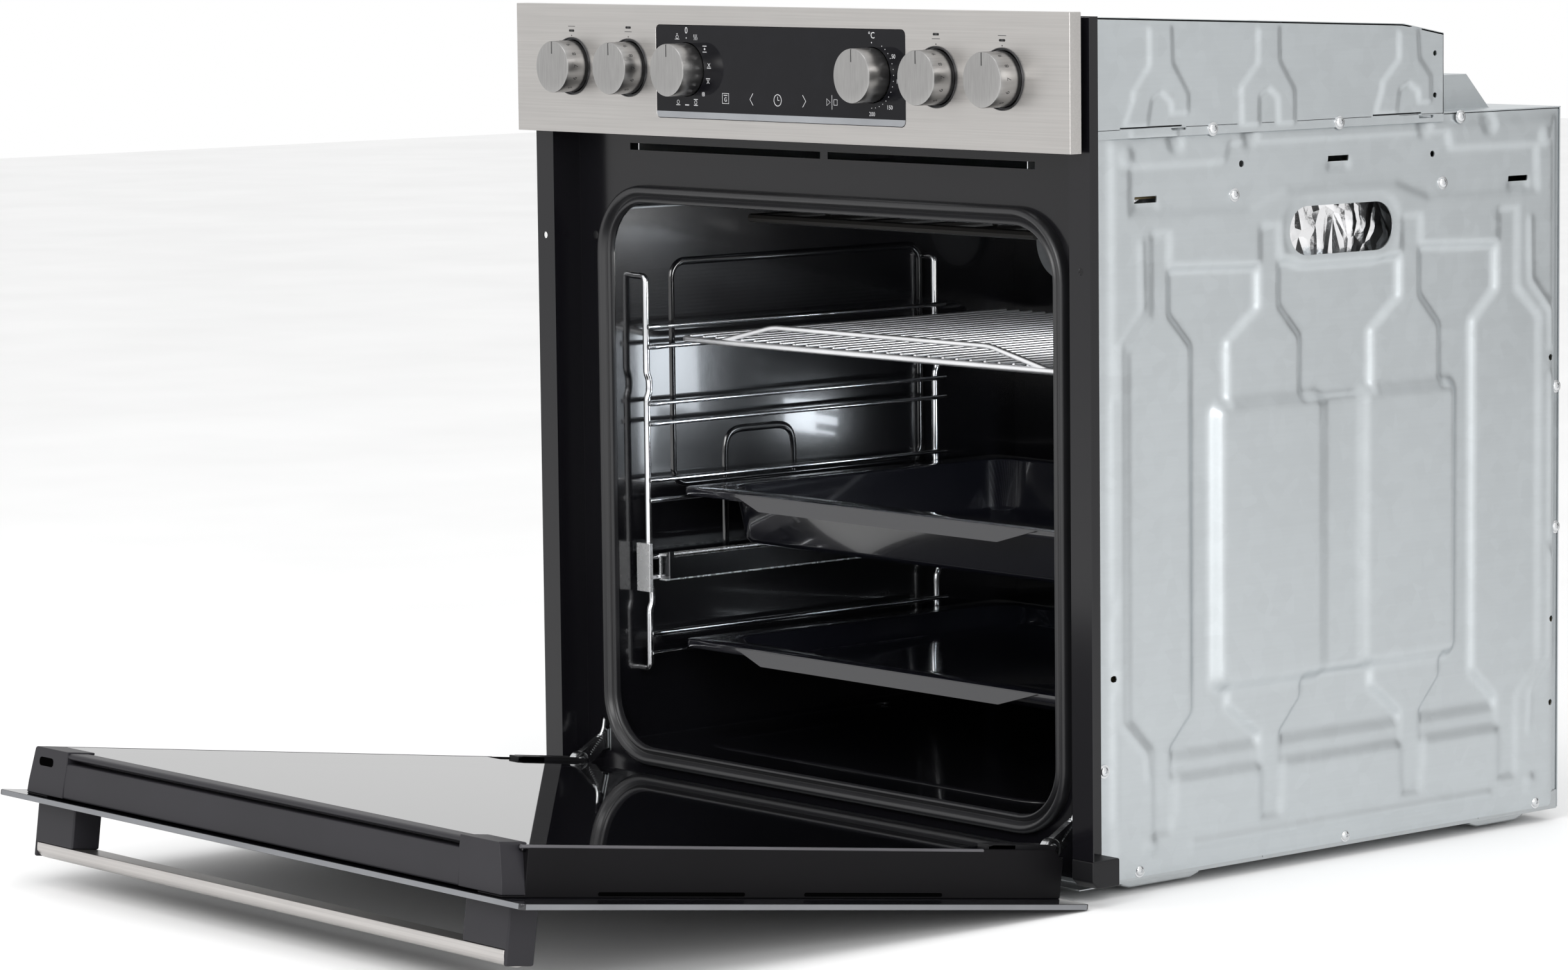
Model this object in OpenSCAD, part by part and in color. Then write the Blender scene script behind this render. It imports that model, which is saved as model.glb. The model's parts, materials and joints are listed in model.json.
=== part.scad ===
// Built-in wall oven with hob controls, drawn with its drop-down door open.
// Frame: X across the front, Y into the cabinet, Z up.
// Origin: middle of the base's front edge, on the cabinet shelf, in the plane of the cabinet's front.

/* [Overall] */
// Width of the fascia and the door's outer panel
front_w = 595; // [520:1:720]
// Height of the fascia's top edge above the cabinet shelf
front_h = 592; // [540:1:720]
// Depth of the housing behind the cabinet's front plane
body_depth = 489; // [440:1:600]
// How far each side flange reaches past the housing
flange_overlap = 18.5; // [16:0.5:24]
// Sheet thickness of the housing and the frame
sheet = 1; // [0.8:0.1:1.5]
// Height that the pressed pads stand out of the side panels
emboss = 3; // [2:0.5:4]

/* [Fascia] */
// Height of the steel fascia
fascia_h = 93.5; // [88:0.5:110]
// How far the fascia stands in front of the cabinet
fascia_front = 18; // [16:0.5:22]
// Depth of the fascia's turned edges
fascia_return = 10.4; // [8:0.2:12]
// Thickness of the black display glass
window_t = 3; // [2:0.5:4]
// Distance from the fascia's edge to the outer knob
knob_edge = 65.5; // [50:0.5:80]
// Distance between neighbouring knobs
knob_pitch = 66; // [56:0.5:76]
// Knob diameter
knob_d = 37.5; // [32:0.5:44]
// How far a raised knob stands out
knob_len = 19; // [16:0.5:24]
// How far a knob can be pushed in
knob_travel = 12; // [8:0.5:12]
// Diameter of the control spindles
spindle_d = 6; // [5:0.5:8]

/* [Cavity] */
// Gap between the housing's side and the cavity wall
side_gap = 39; // [36:1:50]
// Gap between the fascia's lower edge and the cavity ceiling
top_gap = 52.5; // [45:0.5:70]
// Height of the cavity floor above the shelf
floor_z = 42; // [38:1:60]
// Gap between the cavity's back wall and the rear panel
rear_gap = 62; // [58:1:80]
// Corner radius of the cavity mouth
mouth_r = 38; // [20:1:50]
// Thickness of the enamelled cavity steel
cavity_t = 1.2; // [1:0.1:2]
// Thickness of the insulation
wool_t = 20; // [14:1:24]
// Depth of the recess that the closed door fits into
frame_recess = 24; // [22:1:28]

/* [Racks and trays] */
// Number of shelf levels
levels = 5; // [4:1:5]
// Height of the lowest level above the cavity floor
level_bottom = 66; // [56:1:80]
// Gap between the highest level and the cavity ceiling
level_top = 109; // [90:1:120]
// Height between the two wires of one level
pair_gap = 15; // [13:0.5:17]
// Diameter of the rack's upright wires
upright_d = 5; // [4:0.5:6]
// Diameter of the rack's level wires
wire_d = 3.5; // [3:0.5:4]
// Depth of the deep tray
deep_h = 42; // [30:1:48]
// Depth of the shallow tray
shallow_h = 18; // [12:1:24]
// Sheet thickness of the trays
tray_t = 1.2; // [1:0.1:1.6]
// Distance of the trays' front edge behind the front frame
tray_setback = 50; // [45:1:70]

/* [Door] */
// Height of the door's lower edge above the shelf
door_bottom = 10; // [8:0.5:14]
// Gap between the door and the fascia
door_gap = 5.5; // [4:0.5:8]
// Thickness of the outer glass panel
panel_t = 4; // [3:0.5:5]
// Depth of the door's frame behind the outer panel
door_depth = 33; // [30:0.5:36]
// How far the outer panel reaches past the door's frame
panel_overhang = 27.5; // [24:0.5:32]
// Angle at which the door is drawn, from closed
door_angle = 82.5; // [0:0.5:90]
// Thickness of the inner and middle glass
pane_t = 4; // [3:0.5:5]
// Distance of the handle's bar from the outer panel
handle_reach = 29; // [26:1:45]
// Width of a handle post
post_w = 46.5; // [36:0.5:60]
// Height of the handle's bar
bar_h = 22.5; // [18:0.5:30]
// Thickness of the handle's bar
bar_t = 11; // [9:0.5:14]
// Diameter of the hinge pins
pin_d = 6; // [5:0.5:8]

/* [Fans] */
// Radius of the convection fan's wheel
fan_r = 68; // [50:1:75]
// Radius of the cooling blower's rotor
blower_r = 52; // [40:1:58]
// Diameter of the fans' shafts
shaft_d = 8; // [6:0.5:10]

/* [Hidden] */

// Clearances
run_gap = 0.05;      // radial clearance of a turning or sliding fit
fit_gap = 0.4;       // clearance between pieces that are set into each other
free_gap = 1.5;      // clearance round pieces that only pass through
cut = 2;             // how far a cut runs past a face

// Housing
body_w = front_w - 2 * flange_overlap;
side_x = body_w / 2 - emboss - sheet;        // inner face of a side panel
shoulder_z = front_h - fascia_h + 12.5;      // top of the side panels
base_top = 14;                               // height of the base's turned edges
base_notch = 8;                              // depth of the base's front notches
top_front = front_h - 4;                     // top of the upper casing at the front
top_rear = front_h - 24;                     // top of the upper casing at the back
top_depth = body_depth - 133;                // depth of the upper casing
frame_y = frame_recess;                      // front face of the enamelled frame
frame_back = frame_y + sheet;
fascia_z = front_h - fascia_h;               // lower edge of the fascia
grip_y = [body_depth - 279, body_depth - 176];   // grip window in each side panel
grip_z = [front_h - 174, front_h - 139.5];
pad_y = [[body_depth - 355, body_depth - 246], [body_depth - 211, body_depth - 112]];
rib_y = [body_depth - 403, body_depth - 297, body_depth - 157, body_depth - 57];
screw_x = body_w / 2 + 10;                   // cabinet screws in the side flanges
screw_z = front_h - 172;
screw_d = 5;

// Cavity
cavity_w = body_w - 2 * side_gap;
ceiling_z = fascia_z - top_gap;
cavity_h = ceiling_z - floor_z;
cavity_back = body_depth - rear_gap;
mid_z = (floor_z + ceiling_z) / 2;
fan_z = mid_z + 6;
lamp = [-cavity_w / 2 + 62, ceiling_z - 48];
cover_d = 25;                                // depth of the fan cover
cover_y = cavity_back - cover_d;             // front face of the fan cover
cover_w = 2 * fan_r + 106;
cover_h = 2 * fan_r + 74;
element_d = 6.5;                             // diameter of the heating elements
blower_y = top_depth - 90;                   // axis of the cooling blower
duct_x = [-cavity_w / 2 + 30, cavity_w / 2 - 30];
duct_z = [ceiling_z + cavity_t + 20, shoulder_z];

// Racks: level wires are counted from the bottom
rack_x = cavity_w / 2 - 15;
rack_front = frame_y + 21;
rack_back = cavity_back - 95;
level_pitch = (cavity_h - level_bottom - level_top) / (levels - 1);
function level_z(n) = floor_z + level_bottom + (n - 1) * level_pitch;
tray_front = frame_y + tray_setback;
tray_back = cover_y - 8;
up_x = rack_x + (upright_d + wire_d) / 2 - 0.6;      // axis of a rack's uprights
rim_x = up_x - upright_d / 2 - 0.5;          // outer edge of a tray's rim
rim_lift = wire_d / 2 + 0.5;                 // underside of a rim above its wire's axis
rim_h = 6;
deep_level = 3;
shallow_level = 1;
shelf_level = levels;
runner_level = 2;
shelf_wire = 3;                              // diameter of the shelf's cross wires
shelf_frame = 5;                             // diameter of the shelf's outer wire
wire_sides = 8;
runner_z = level_z(runner_level) + pair_gap / 2;
runner_in = rack_x - wire_d / 2;             // face of the rack wires towards the cavity
runner_h = pair_gap + 5;
runner_len = rack_back - rack_front + 6;

// Fascia and controls
fascia_back = -fascia_front + sheet;
knob_z = front_h - 45.2;
knob_outer = front_w / 2 - knob_edge;
knob_x = [-knob_outer, knob_pitch - knob_outer, 2 * knob_pitch - knob_outer];
window_x = knob_outer - 2 * knob_pitch + 34.5;
window_z = [front_h - 80, front_h - 13.7];
carrier_t = 4.8;
carrier_back = fascia_back + carrier_t;
well_y = fascia_back + knob_travel + 3.5;    // inner face of a knob well's floor
unit_y = well_y + 2;                         // front face of the control units
knob_face = -fascia_front - knob_len;
knob_base = fascia_back - 0.5;
spindle_tip = knob_face + 1.6 + knob_travel;
collar_in = knob_d / 2 + fit_gap;
collar_out = collar_in + 0.85;

// Door, drawn closed and then turned about its hinge
door_y = -fascia_front + 1;                  // back face of the outer panel, closed
door_len = fascia_z - door_gap - door_bottom;
door_x = front_w / 2 - panel_overhang;       // outer face of the door's side
door_in = door_y + door_depth;               // inner face of the door
door_top = door_bottom + door_len - 5;       // top of the door's frame
hinge_y = door_y + 14.9;
hinge_z = door_bottom + 0.65;
hinge_x = door_x - 13;                       // middle plane of a hinge
arm_t = 5;
hinge_slot = arm_t + 7;
rail_w = 25;                                 // width of the door's side rails
trim_h = 18;                                 // height of the door's top trim
pane_y = door_y + 15;                        // front face of the middle pane
frame_gap_z = 12;                            // height of the door's lower rail
handle_z = door_bottom + 469 / 483 * door_len;
bar_y = door_y - panel_t - handle_reach;     // inner face of the bar
slot_z = [floor_z - 8, floor_z + 16];        // hinge slot in the front frame

round_steps = 6;

// Helpers

// Box between two corners
module block(lo, hi) {
  translate(lo) cube([hi[0] - lo[0], hi[1] - lo[1], hi[2] - lo[2]]);
}

// The same piece on the right and on the left
module pair() {
  children();
  mirror([1, 0, 0]) children();
}

// Outline of a rectangle with round corners
function round_box(a0, a1, b0, b1, r) = [
  for (c = [[a1 - r, b0 + r, -90], [a1 - r, b1 - r, 0], [a0 + r, b1 - r, 90], [a0 + r, b0 + r, 180]])
    for (i = [0 : round_steps])
      let (a = c[2] + 90 * i / round_steps) [c[0] + r * cos(a), c[1] + r * sin(a)]
];

// Flat plate with its outline in X and Z, between two Y values
module plate_y(outline, y0, y1) {
  translate([0, y1, 0]) rotate([90, 0, 0]) linear_extrude(y1 - y0) polygon(outline);
}

// Flat plate with its outline in Y and Z, between two X values
module plate_x(outline, x0, x1) {
  translate([x0, 0, 0]) rotate([90, 0, 90]) linear_extrude(x1 - x0) polygon(outline);
}

// Flat plate with its outline in X and Y, between two Z values
module plate_z(outline, z0, z1) {
  translate([0, 0, z0]) linear_extrude(z1 - z0) polygon(outline);
}

// Straight wires along each axis, centred on the other two coordinates
module wire_x(x0, x1, y, z, d) {
  translate([x0, y, z]) rotate([0, 90, 0]) cylinder(h = x1 - x0, d = d, $fn = wire_sides);
}
module wire_y(x, y0, y1, z, d) {
  translate([x, y1, z]) rotate([90, 0, 0]) cylinder(h = y1 - y0, d = d, $fn = wire_sides);
}
module wire_z(x, y, z0, z1, d) {
  translate([x, y, z0]) cylinder(h = z1 - z0, d = d, $fn = wire_sides);
}

// True round bar or bore along Y
module round_y(x, z, y0, y1, d) {
  translate([x, y1, z]) rotate([90, 0, 0]) cylinder(h = y1 - y0, d = d, $fn = 48);
}

// True round bar or bore along X
module round_x(y, z, x0, x1, d) {
  translate([x0, y, z]) rotate([0, 90, 0]) cylinder(h = x1 - x0, d = d, $fn = 48);
}

// Turns a closed-door piece to the drawn door angle
module hang_door() {
  translate([0, hinge_y, hinge_z]) rotate([door_angle, 0, 0]) translate([0, -hinge_y, -hinge_z]) children();
}

// Housing

module base_pan() {
  color("#b9bfc2") {
    difference() {
      block([-side_x, 0, 0], [side_x, body_depth - 2 * sheet, sheet]);
      // corners cut back round the door's hinges
      pair() block([hinge_x - hinge_slot, -cut, -cut], [side_x + cut, base_notch, sheet + cut]);
    }
    pair() block([side_x - sheet, frame_back, 0], [side_x, body_depth - 2 * sheet, base_top]);
    block([-side_x + sheet, frame_back, 0], [side_x - sheet, frame_back + sheet, base_top]);
    block([-side_x + sheet, body_depth - 3 * sheet, 0], [side_x - sheet, body_depth - 2 * sheet, base_top]);
  }
}

// Side panel: two large pressed pads, four ribs above and four below them, and the grip window
module side_panel() {
  panel_z = [3, shoulder_z];
  pads_z = [panel_z[0] + 120, panel_z[1] - 189];
  rib_w = 22;
  difference() {
    union() {
      block([side_x, frame_back, panel_z[0]], [side_x + sheet, body_depth, panel_z[1]]);
      block([side_x - 20, body_depth - sheet, panel_z[0]], [side_x, body_depth, panel_z[1]]);
      for (p = pad_y)
        plate_x(round_box(p[0], p[1], pads_z[0], pads_z[1], 8), side_x + sheet, side_x + sheet + emboss);
      for (y = rib_y) {
        plate_x(round_box(y - rib_w / 2, y + rib_w / 2, pads_z[1] + 12, grip_z[0] - 12, 6),
          side_x + sheet, side_x + sheet + emboss);
        plate_x(round_box(y - rib_w / 2, y + rib_w / 2, panel_z[0] + 22, pads_z[0] - 12, 6),
          side_x + sheet, side_x + sheet + emboss);
      }
      plate_x(round_box(frame_back + 12, body_depth - 12, panel_z[1] - 44, panel_z[1] - 12, 6),
        side_x + sheet, side_x + sheet + emboss);
    }
    plate_x(round_box(grip_y[0], grip_y[1], grip_z[0], grip_z[1], (grip_z[1] - grip_z[0]) / 2 - 0.1),
      side_x - cut, side_x + sheet + cut);
  }
}

module side_panel_right() {
  color("#c2c8cb") side_panel();
}

module side_panel_left() {
  color("#c2c8cb") mirror([1, 0, 0]) side_panel();
}

module rear_panel() {
  vent_pitch = 12;
  vents = 9;
  color("#b9bfc2") difference() {
    block([-side_x, body_depth - 2 * sheet, sheet], [side_x, body_depth - sheet, shoulder_z]);
    pair() for (i = [0 : vents - 1])
      block([side_x * 0.45, body_depth - 2 * sheet - cut, 60 + i * vent_pitch],
        [side_x * 0.75, body_depth - sheet + cut, 64 + i * vent_pitch]);
    round_y(0, fan_z, body_depth - 2 * sheet - cut, body_depth - sheet + cut, 40);
    block([side_x - 95, body_depth - 2 * sheet - cut, shoulder_z - 65],
      [side_x - 35, body_depth - sheet + cut, shoulder_z - 35]);
  }
}

// Low hood over the warm-air outlet, behind the upper casing
module rear_cover() {
  hood = [[top_depth + 2, shoulder_z + sheet], [top_depth + 2, shoulder_z + 26],
    [top_depth + 60, shoulder_z + 26], [top_depth + 84, shoulder_z + sheet]];
  inner = [[top_depth + 2 + sheet, shoulder_z], [top_depth + 2 + sheet, shoulder_z + 25],
    [top_depth + 59.5, shoulder_z + 25], [top_depth + 82.5, shoulder_z]];
  color("#c2c8cb") {
    block([-side_x, top_depth + sheet, shoulder_z], [side_x, body_depth, shoulder_z + sheet]);
    difference() {
      plate_x(hood, -side_x + 40, side_x - 25);
      plate_x(inner, -side_x + 40 + sheet, side_x - 25 - sheet);
    }
  }
}

// Upper casing over the controls and the blower, open at the front
module top_cover() {
  floor_y = frame_back;
  outline = [[floor_y, shoulder_z], [top_depth, shoulder_z], [top_depth, top_rear],
    [top_depth - 120, top_front], [floor_y, top_front]];
  hollow = [[floor_y - cut, shoulder_z + sheet], [top_depth - sheet, shoulder_z + sheet],
    [top_depth - sheet, top_rear - sheet], [top_depth - 120.5, top_front - sheet],
    [floor_y - cut, top_front - sheet]];
  outer_x = side_x + sheet;
  color("#c2c8cb") difference() {
    union() {
      plate_x(outline, -outer_x, outer_x);
      pair() for (y = [90, 190, 290])
        plate_x(round_box(y - 12, y + 12, shoulder_z + 18, top_rear - 12, 5), outer_x, outer_x + emboss);
    }
    plate_x(hollow, -outer_x + sheet, outer_x - sheet);
    translate([0, blower_y, shoulder_z - cut]) cylinder(h = sheet + 2 * cut, r = blower_r - 8, $fn = 64);
  }
}

// Enamelled front frame with its side flanges
module front_frame() {
  outer = body_w / 2;
  color("#26262a") difference() {
    union() {
      block([-outer, frame_y, 4], [outer, frame_back, top_front]);
      pair() {
        block([outer - sheet, -sheet, 24], [outer, frame_y, top_front]);
        block([outer - sheet, -sheet, 24], [front_w / 2 + 0.5, 0, top_front]);
      }
    }
    plate_y(round_box(-cavity_w / 2 + 1, cavity_w / 2 - 1, floor_z, ceiling_z, mouth_r),
      frame_y - cut, frame_back + cut);
    pair() {
      // hinge slot
      block([hinge_x - hinge_slot / 2, frame_y - cut, slot_z[0]],
        [hinge_x + hinge_slot / 2, frame_back + cut, slot_z[1]]);
      // cooling air outlet
      block([4, frame_y - cut, fascia_z - 14], [cavity_w / 2 - 22, frame_back + cut, fascia_z - 9]);
      // cabinet screw
      round_y(screw_x, screw_z, -sheet - cut, cut, screw_d);
    }
    // opening for the controls
    block([-side_x + 14, frame_y - cut, fascia_z + 15], [side_x - 14, frame_back + cut, top_front - 8]);
  }
}

// Rubber seal round the cavity mouth, just clear of the closed door
module door_gasket() {
  lip = 13;
  color("#2e2e31") difference() {
    plate_y(round_box(-cavity_w / 2 - lip + 1, cavity_w / 2 + lip - 1, floor_z - lip, ceiling_z + lip,
      mouth_r + lip), door_in + fit_gap, frame_y);
    plate_y(round_box(-cavity_w / 2 + 1, cavity_w / 2 - 1, floor_z, ceiling_z, mouth_r),
      door_in + fit_gap - cut, frame_y + cut);
    plate_y(round_box(-cavity_w / 2 - 3, cavity_w / 2 + 3, floor_z - 4, ceiling_z + 4, mouth_r + 4),
      door_in + fit_gap - cut, door_in + 3);
  }
}

// Moulded pieces that close the lower ends of the flanges
module frame_corners() {
  outline = [[-sheet, 24], [-sheet, 10], [4, 5], [frame_y, 5], [frame_y, 24]];
  color("#303034") pair() plate_x(outline, body_w / 2 - 2, front_w / 2 + 0.5);
}

// Cavity and insulation

module cavity() {
  outer = cavity_w / 2 + cavity_t;
  color("#121214") difference() {
    plate_y(round_box(-outer, outer, floor_z - cavity_t, ceiling_z + cavity_t, 8),
      frame_back, cavity_back + cavity_t);
    plate_y(round_box(-cavity_w / 2, cavity_w / 2, floor_z, ceiling_z, 7), frame_back - cut, cavity_back);
    round_y(0, fan_z, cavity_back - cut, cavity_back + cavity_t + cut, shaft_d + 4);
    round_y(lamp[0], lamp[1], cavity_back - cut, cavity_back + cavity_t + cut, 52);
    for (x = [-12, 12])
      round_y(x, fan_z - fan_r - 20.6, cavity_back - cut, cavity_back + cavity_t + cut, 8);
    for (x = [-30, 30])
      round_y(x, ceiling_z - 12, cavity_back - cut, cavity_back + cavity_t + cut, 8);
  }
}

module insulation() {
  inner = cavity_w / 2 + cavity_t;
  outer = inner + wool_t;
  rear = cavity_back + cavity_t;
  color("#c9bd9a") difference() {
    block([-outer, frame_back, floor_z - cavity_t - 18], [outer, rear + 10, ceiling_z + cavity_t + 18]);
    plate_y(round_box(-inner, inner, floor_z - cavity_t, ceiling_z + cavity_t, 8), frame_back - cut, rear);
    // pocket for the bottom element
    block([-cavity_w / 2 + 50, frame_back + 50, floor_z - cavity_t - 10],
      [cavity_w / 2 - 50, cavity_back - 20, floor_z - cavity_t]);
    round_y(0, fan_z, rear - cut, rear + 10 + cut, 68);
    block([-48, rear - cut, fan_z - 11], [48, rear + 10 + cut, fan_z + 11]);
    round_y(lamp[0], lamp[1], rear - cut, rear + 10 + cut, 60);
    block([-40, rear - cut, ceiling_z - 30], [40, rear + 10 + cut, ceiling_z + 4]);
    block([-30, rear - cut, fan_z - fan_r - 34], [30, rear + 10 + cut, fan_z - fan_r - 10]);
    // room for the hinge receivers
    pair() block([hinge_x - 14, frame_back - cut, floor_z - 30], [outer + cut, frame_back + 62, floor_z + 40]);
  }
}

// Fascia and controls

module fascia() {
  half = front_w / 2;
  color("#c8c6c2") difference() {
    block([-half, -fascia_front, fascia_z], [half, -fascia_front + fascia_return, front_h]);
    block([-half + sheet, fascia_back, fascia_z + sheet], [half - sheet, cut, front_h - sheet]);
    plate_y(round_box(-window_x, window_x, window_z[0], window_z[1], 4), -fascia_front - cut, cut);
    pair() for (x = [knob_x[0], knob_x[1]])
      round_y(x, knob_z, -fascia_front - cut, cut, 2 * collar_out + 0.2);
  }
}

module knob_well(x) {
  round_y(x, knob_z, carrier_back - 1, unit_y, 2 * collar_out + 4);
}

module fascia_carrier() {
  half = front_w / 2 - sheet;
  board_x = -knob_x[2] - collar_out - 8;
  color("#1d1d1f") difference() {
    union() {
      block([-half, fascia_back, fascia_z + sheet], [half, carrier_back, front_h - sheet]);
      pair() for (x = knob_x) knob_well(x);
      // arms back to the front frame
      pair() block([side_x - 12, carrier_back - 1, fascia_z + 20], [side_x - 6, frame_y, front_h - 20]);
    }
    plate_y(round_box(-window_x, window_x, window_z[0], window_z[1], 4),
      fascia_back - cut, -fascia_front + window_t);
    block([-board_x, fascia_back, window_z[0] + 6], [board_x, carrier_back + cut, window_z[1] - 6]);
    pair() for (x = knob_x) {
      round_y(x, knob_z, fascia_back - cut, well_y, 2 * collar_out + 0.3);
      round_y(x, knob_z, well_y - cut, unit_y + cut, spindle_d + 2 * free_gap);
    }
  }
}

module display_window() {
  color("#0c0d10") difference() {
    plate_y(round_box(-window_x + 0.2, window_x - 0.2, window_z[0] + 0.2, window_z[1] - 0.2, 4),
      -fascia_front, -fascia_front + window_t);
    pair() round_y(knob_x[2], knob_z, -fascia_front - cut, cut, 2 * collar_in);
  }
}

module control_board() {
  board_x = -knob_x[2] - collar_out - 9;
  board_y = carrier_back - 1.6;
  color("#2f6b45") {
    block([-board_x - 1, board_y, window_z[0] + 6], [board_x + 1, carrier_back, window_z[1] - 6]);
    block([-board_x * 0.5, -fascia_front + window_t, knob_z - 14], [board_x * 0.5, board_y, knob_z + 14]);
    block([-board_x * 0.6, carrier_back, knob_z - 20], [board_x * 0.6, carrier_back + 12, knob_z + 12]);
  }
}

// Six rotary controls, one behind each knob
module control_units() {
  unit = [34, 32, 42];
  color("#d8d4c8") pair() for (x = knob_x) difference() {
    translate([x - unit[0] / 2, unit_y, knob_z - unit[2] / 2]) cube(unit);
    round_y(x, knob_z, unit_y - cut, unit_y + unit[1] - 3, spindle_d + 2 * run_gap);
  }
}

// Rings that line the holes of the four hob knobs
module knob_collars() {
  color("#3a3a3c") pair() for (x = [knob_x[0], knob_x[1]]) difference() {
    union() {
      round_y(x, knob_z, -fascia_front - 1.2, -fascia_front, 2 * collar_out + 2);
      round_y(x, knob_z, -fascia_front - 1.2, carrier_back, 2 * collar_out);
    }
    round_y(x, knob_z, -fascia_front - 1.2 - cut, carrier_back + cut, 2 * collar_in);
  }
}

module spindle(x) {
  color("#9a9a9a") round_y(x, knob_z, spindle_tip, unit_y + 26, spindle_d);
}
module hob_spindle_1() { spindle(knob_x[0]); }
module hob_spindle_2() { spindle(knob_x[1]); }
module hob_spindle_3() { spindle(-knob_x[1]); }
module hob_spindle_4() { spindle(-knob_x[0]); }
module function_spindle() { spindle(knob_x[2]); }
module temperature_spindle() { spindle(-knob_x[2]); }

// Hollow knob with a pointer line on its face
module knob(x) {
  face_t = 1.2;
  color("#a9a8a6") difference() {
    round_y(x, knob_z, knob_face, knob_base, knob_d);
    difference() {
      round_y(x, knob_z, knob_face + face_t, knob_base + cut, knob_d - 3);
      round_y(x, knob_z, knob_face, knob_base + 2 * cut, spindle_d + 6);
    }
    round_y(x, knob_z, knob_face + face_t, knob_base + cut, spindle_d + 2 * run_gap);
    block([x - 0.5, knob_face - cut, knob_z + 4], [x + 0.5, knob_face + 0.5, knob_z + knob_d / 2 + cut]);
  }
}
module hob_knob_1() { knob(knob_x[0]); }
module hob_knob_2() { knob(knob_x[1]); }
module hob_knob_3() { knob(-knob_x[1]); }
module hob_knob_4() { knob(-knob_x[0]); }
module function_knob() { knob(knob_x[2]); }
module temperature_knob() { knob(-knob_x[2]); }

// Heating

// Looped tube under the cavity ceiling, with its tails through the back wall
module grill_element() {
  z = ceiling_z - 12;
  y0 = frame_back + 60;
  y1 = cavity_back - 60;
  runs = [30, 90, 150];
  color("#4a4745") pair() {
    wire_y(runs[0], y0, cavity_back + 22, z, element_d);
    wire_y(runs[1], y0, y1, z, element_d);
    wire_y(runs[2], y0, y1, z, element_d);
    wire_x(runs[0] - element_d / 2, runs[1] + element_d / 2, y0, z, element_d);
    wire_x(runs[1] - element_d / 2, runs[2] + element_d / 2, y1, z, element_d);
    wire_x(-1, runs[2] + element_d / 2, y0, z, element_d);
    wire_z(runs[1], y1 - 20, z, ceiling_z, 4);
    wire_z(runs[1], y0 + 20, z, ceiling_z, 4);
  }
}

// Looped tube under the cavity floor
module bottom_element() {
  z = floor_z - cavity_t - element_d / 2;
  x1 = cavity_w / 2 - 65;
  y0 = frame_back + 65;
  y1 = cavity_back - 35;
  color("#4a4745") pair() {
    wire_y(x1, y0, y1, z, element_d);
    wire_y(x1 / 2, y0, y1, z, element_d);
    wire_x(x1 / 2 - element_d / 2, x1 + element_d / 2, y0, z, element_d);
    wire_x(-1, x1 / 2 + element_d / 2, y1, z, element_d);
  }
}

// Ring round the convection fan
module ring_element() {
  r = fan_r + 18;
  y = cavity_back - 13;
  color("#4a4745") {
    translate([0, y, fan_z]) rotate([90, 0, 0]) rotate_extrude($fn = 72) translate([r, 0]) circle(d = element_d, $fn = 24);
    for (x = [-12, 12]) round_y(x, fan_z - r - 2.6, y, cavity_back + 24, element_d);
  }
}

// Cover in front of the fan: intake grille in the middle, outlet slots at the sides
module fan_cover() {
  half_w = cover_w / 2;
  half_h = cover_h / 2;
  color("#17171a") difference() {
    plate_y(round_box(-half_w, half_w, fan_z - half_h, fan_z + half_h, 12), cover_y, cavity_back);
    plate_y(round_box(-half_w + sheet, half_w - sheet, fan_z - half_h + sheet, fan_z + half_h - sheet, 11),
      cover_y + sheet, cavity_back + cut);
    for (i = [-4 : 4]) {
      reach = sqrt(pow(fan_r - 12, 2) - pow(i * 11, 2));
      block([-reach, cover_y - cut, fan_z + i * 11 - 3], [reach, cover_y + 2 * cut, fan_z + i * 11 + 3]);
    }
    for (i = [-3 : 3])
      block([-half_w - cut, cover_y + 8, fan_z + i * 26 - 9], [half_w + cut, cover_y + 17, fan_z + i * 26 + 9]);
  }
}

// Fan wheel on the motor's shaft
module convection_fan() {
  blades = 10;
  plate_y0 = cavity_back - 6;
  color("#8d8f92") translate([0, 0, fan_z]) {
    round_y(0, 0, plate_y0 - 1.2, plate_y0, 2 * fan_r);
    round_y(0, 0, cover_y + 5, plate_y0, 16);
    for (i = [0 : blades - 1]) rotate([0, i * 360 / blades, 0])
      block([fan_r - 24, plate_y0 - 16, -0.6], [fan_r - 1, plate_y0 - 1, 0.6]);
    round_y(0, 0, plate_y0 - 1, cavity_back + 40, shaft_d);
  }
}

module fan_motor() {
  y0 = cavity_back + cavity_t + 4;
  color("#b0b0ac") difference() {
    union() {
      round_y(0, fan_z, y0, y0 + 44, 64);
      block([-45, y0 - 4, fan_z - 8], [45, y0 - 2, fan_z + 8]);
      block([-28, y0 - 4, fan_z - 6], [28, y0 + 2, fan_z + 6]);
    }
    round_y(0, fan_z, y0 - 2 * cut - 1, y0 + 38, shaft_d + 2 * run_gap);
  }
}

module oven_lamp() {
  color("#d9d2c0") {
    difference() {
      round_y(lamp[0], lamp[1], cavity_back + cavity_t, cavity_back + 42, 56);
      round_y(lamp[0], lamp[1], cavity_back + cavity_t - cut, cavity_back + 38, 46);
    }
    round_y(lamp[0], lamp[1], cavity_back + 16, cavity_back + 39, 24);
  }
}

module lamp_lens() {
  color("#e6ecee") difference() {
    union() {
      round_y(lamp[0], lamp[1], cavity_back - 6, cavity_back, 60);
      round_y(lamp[0], lamp[1], cavity_back - 6, cavity_back + 12, 45);
    }
    round_y(lamp[0], lamp[1], cavity_back - 3, cavity_back + 12 + cut, 39);
  }
}

// Cooling

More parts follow.
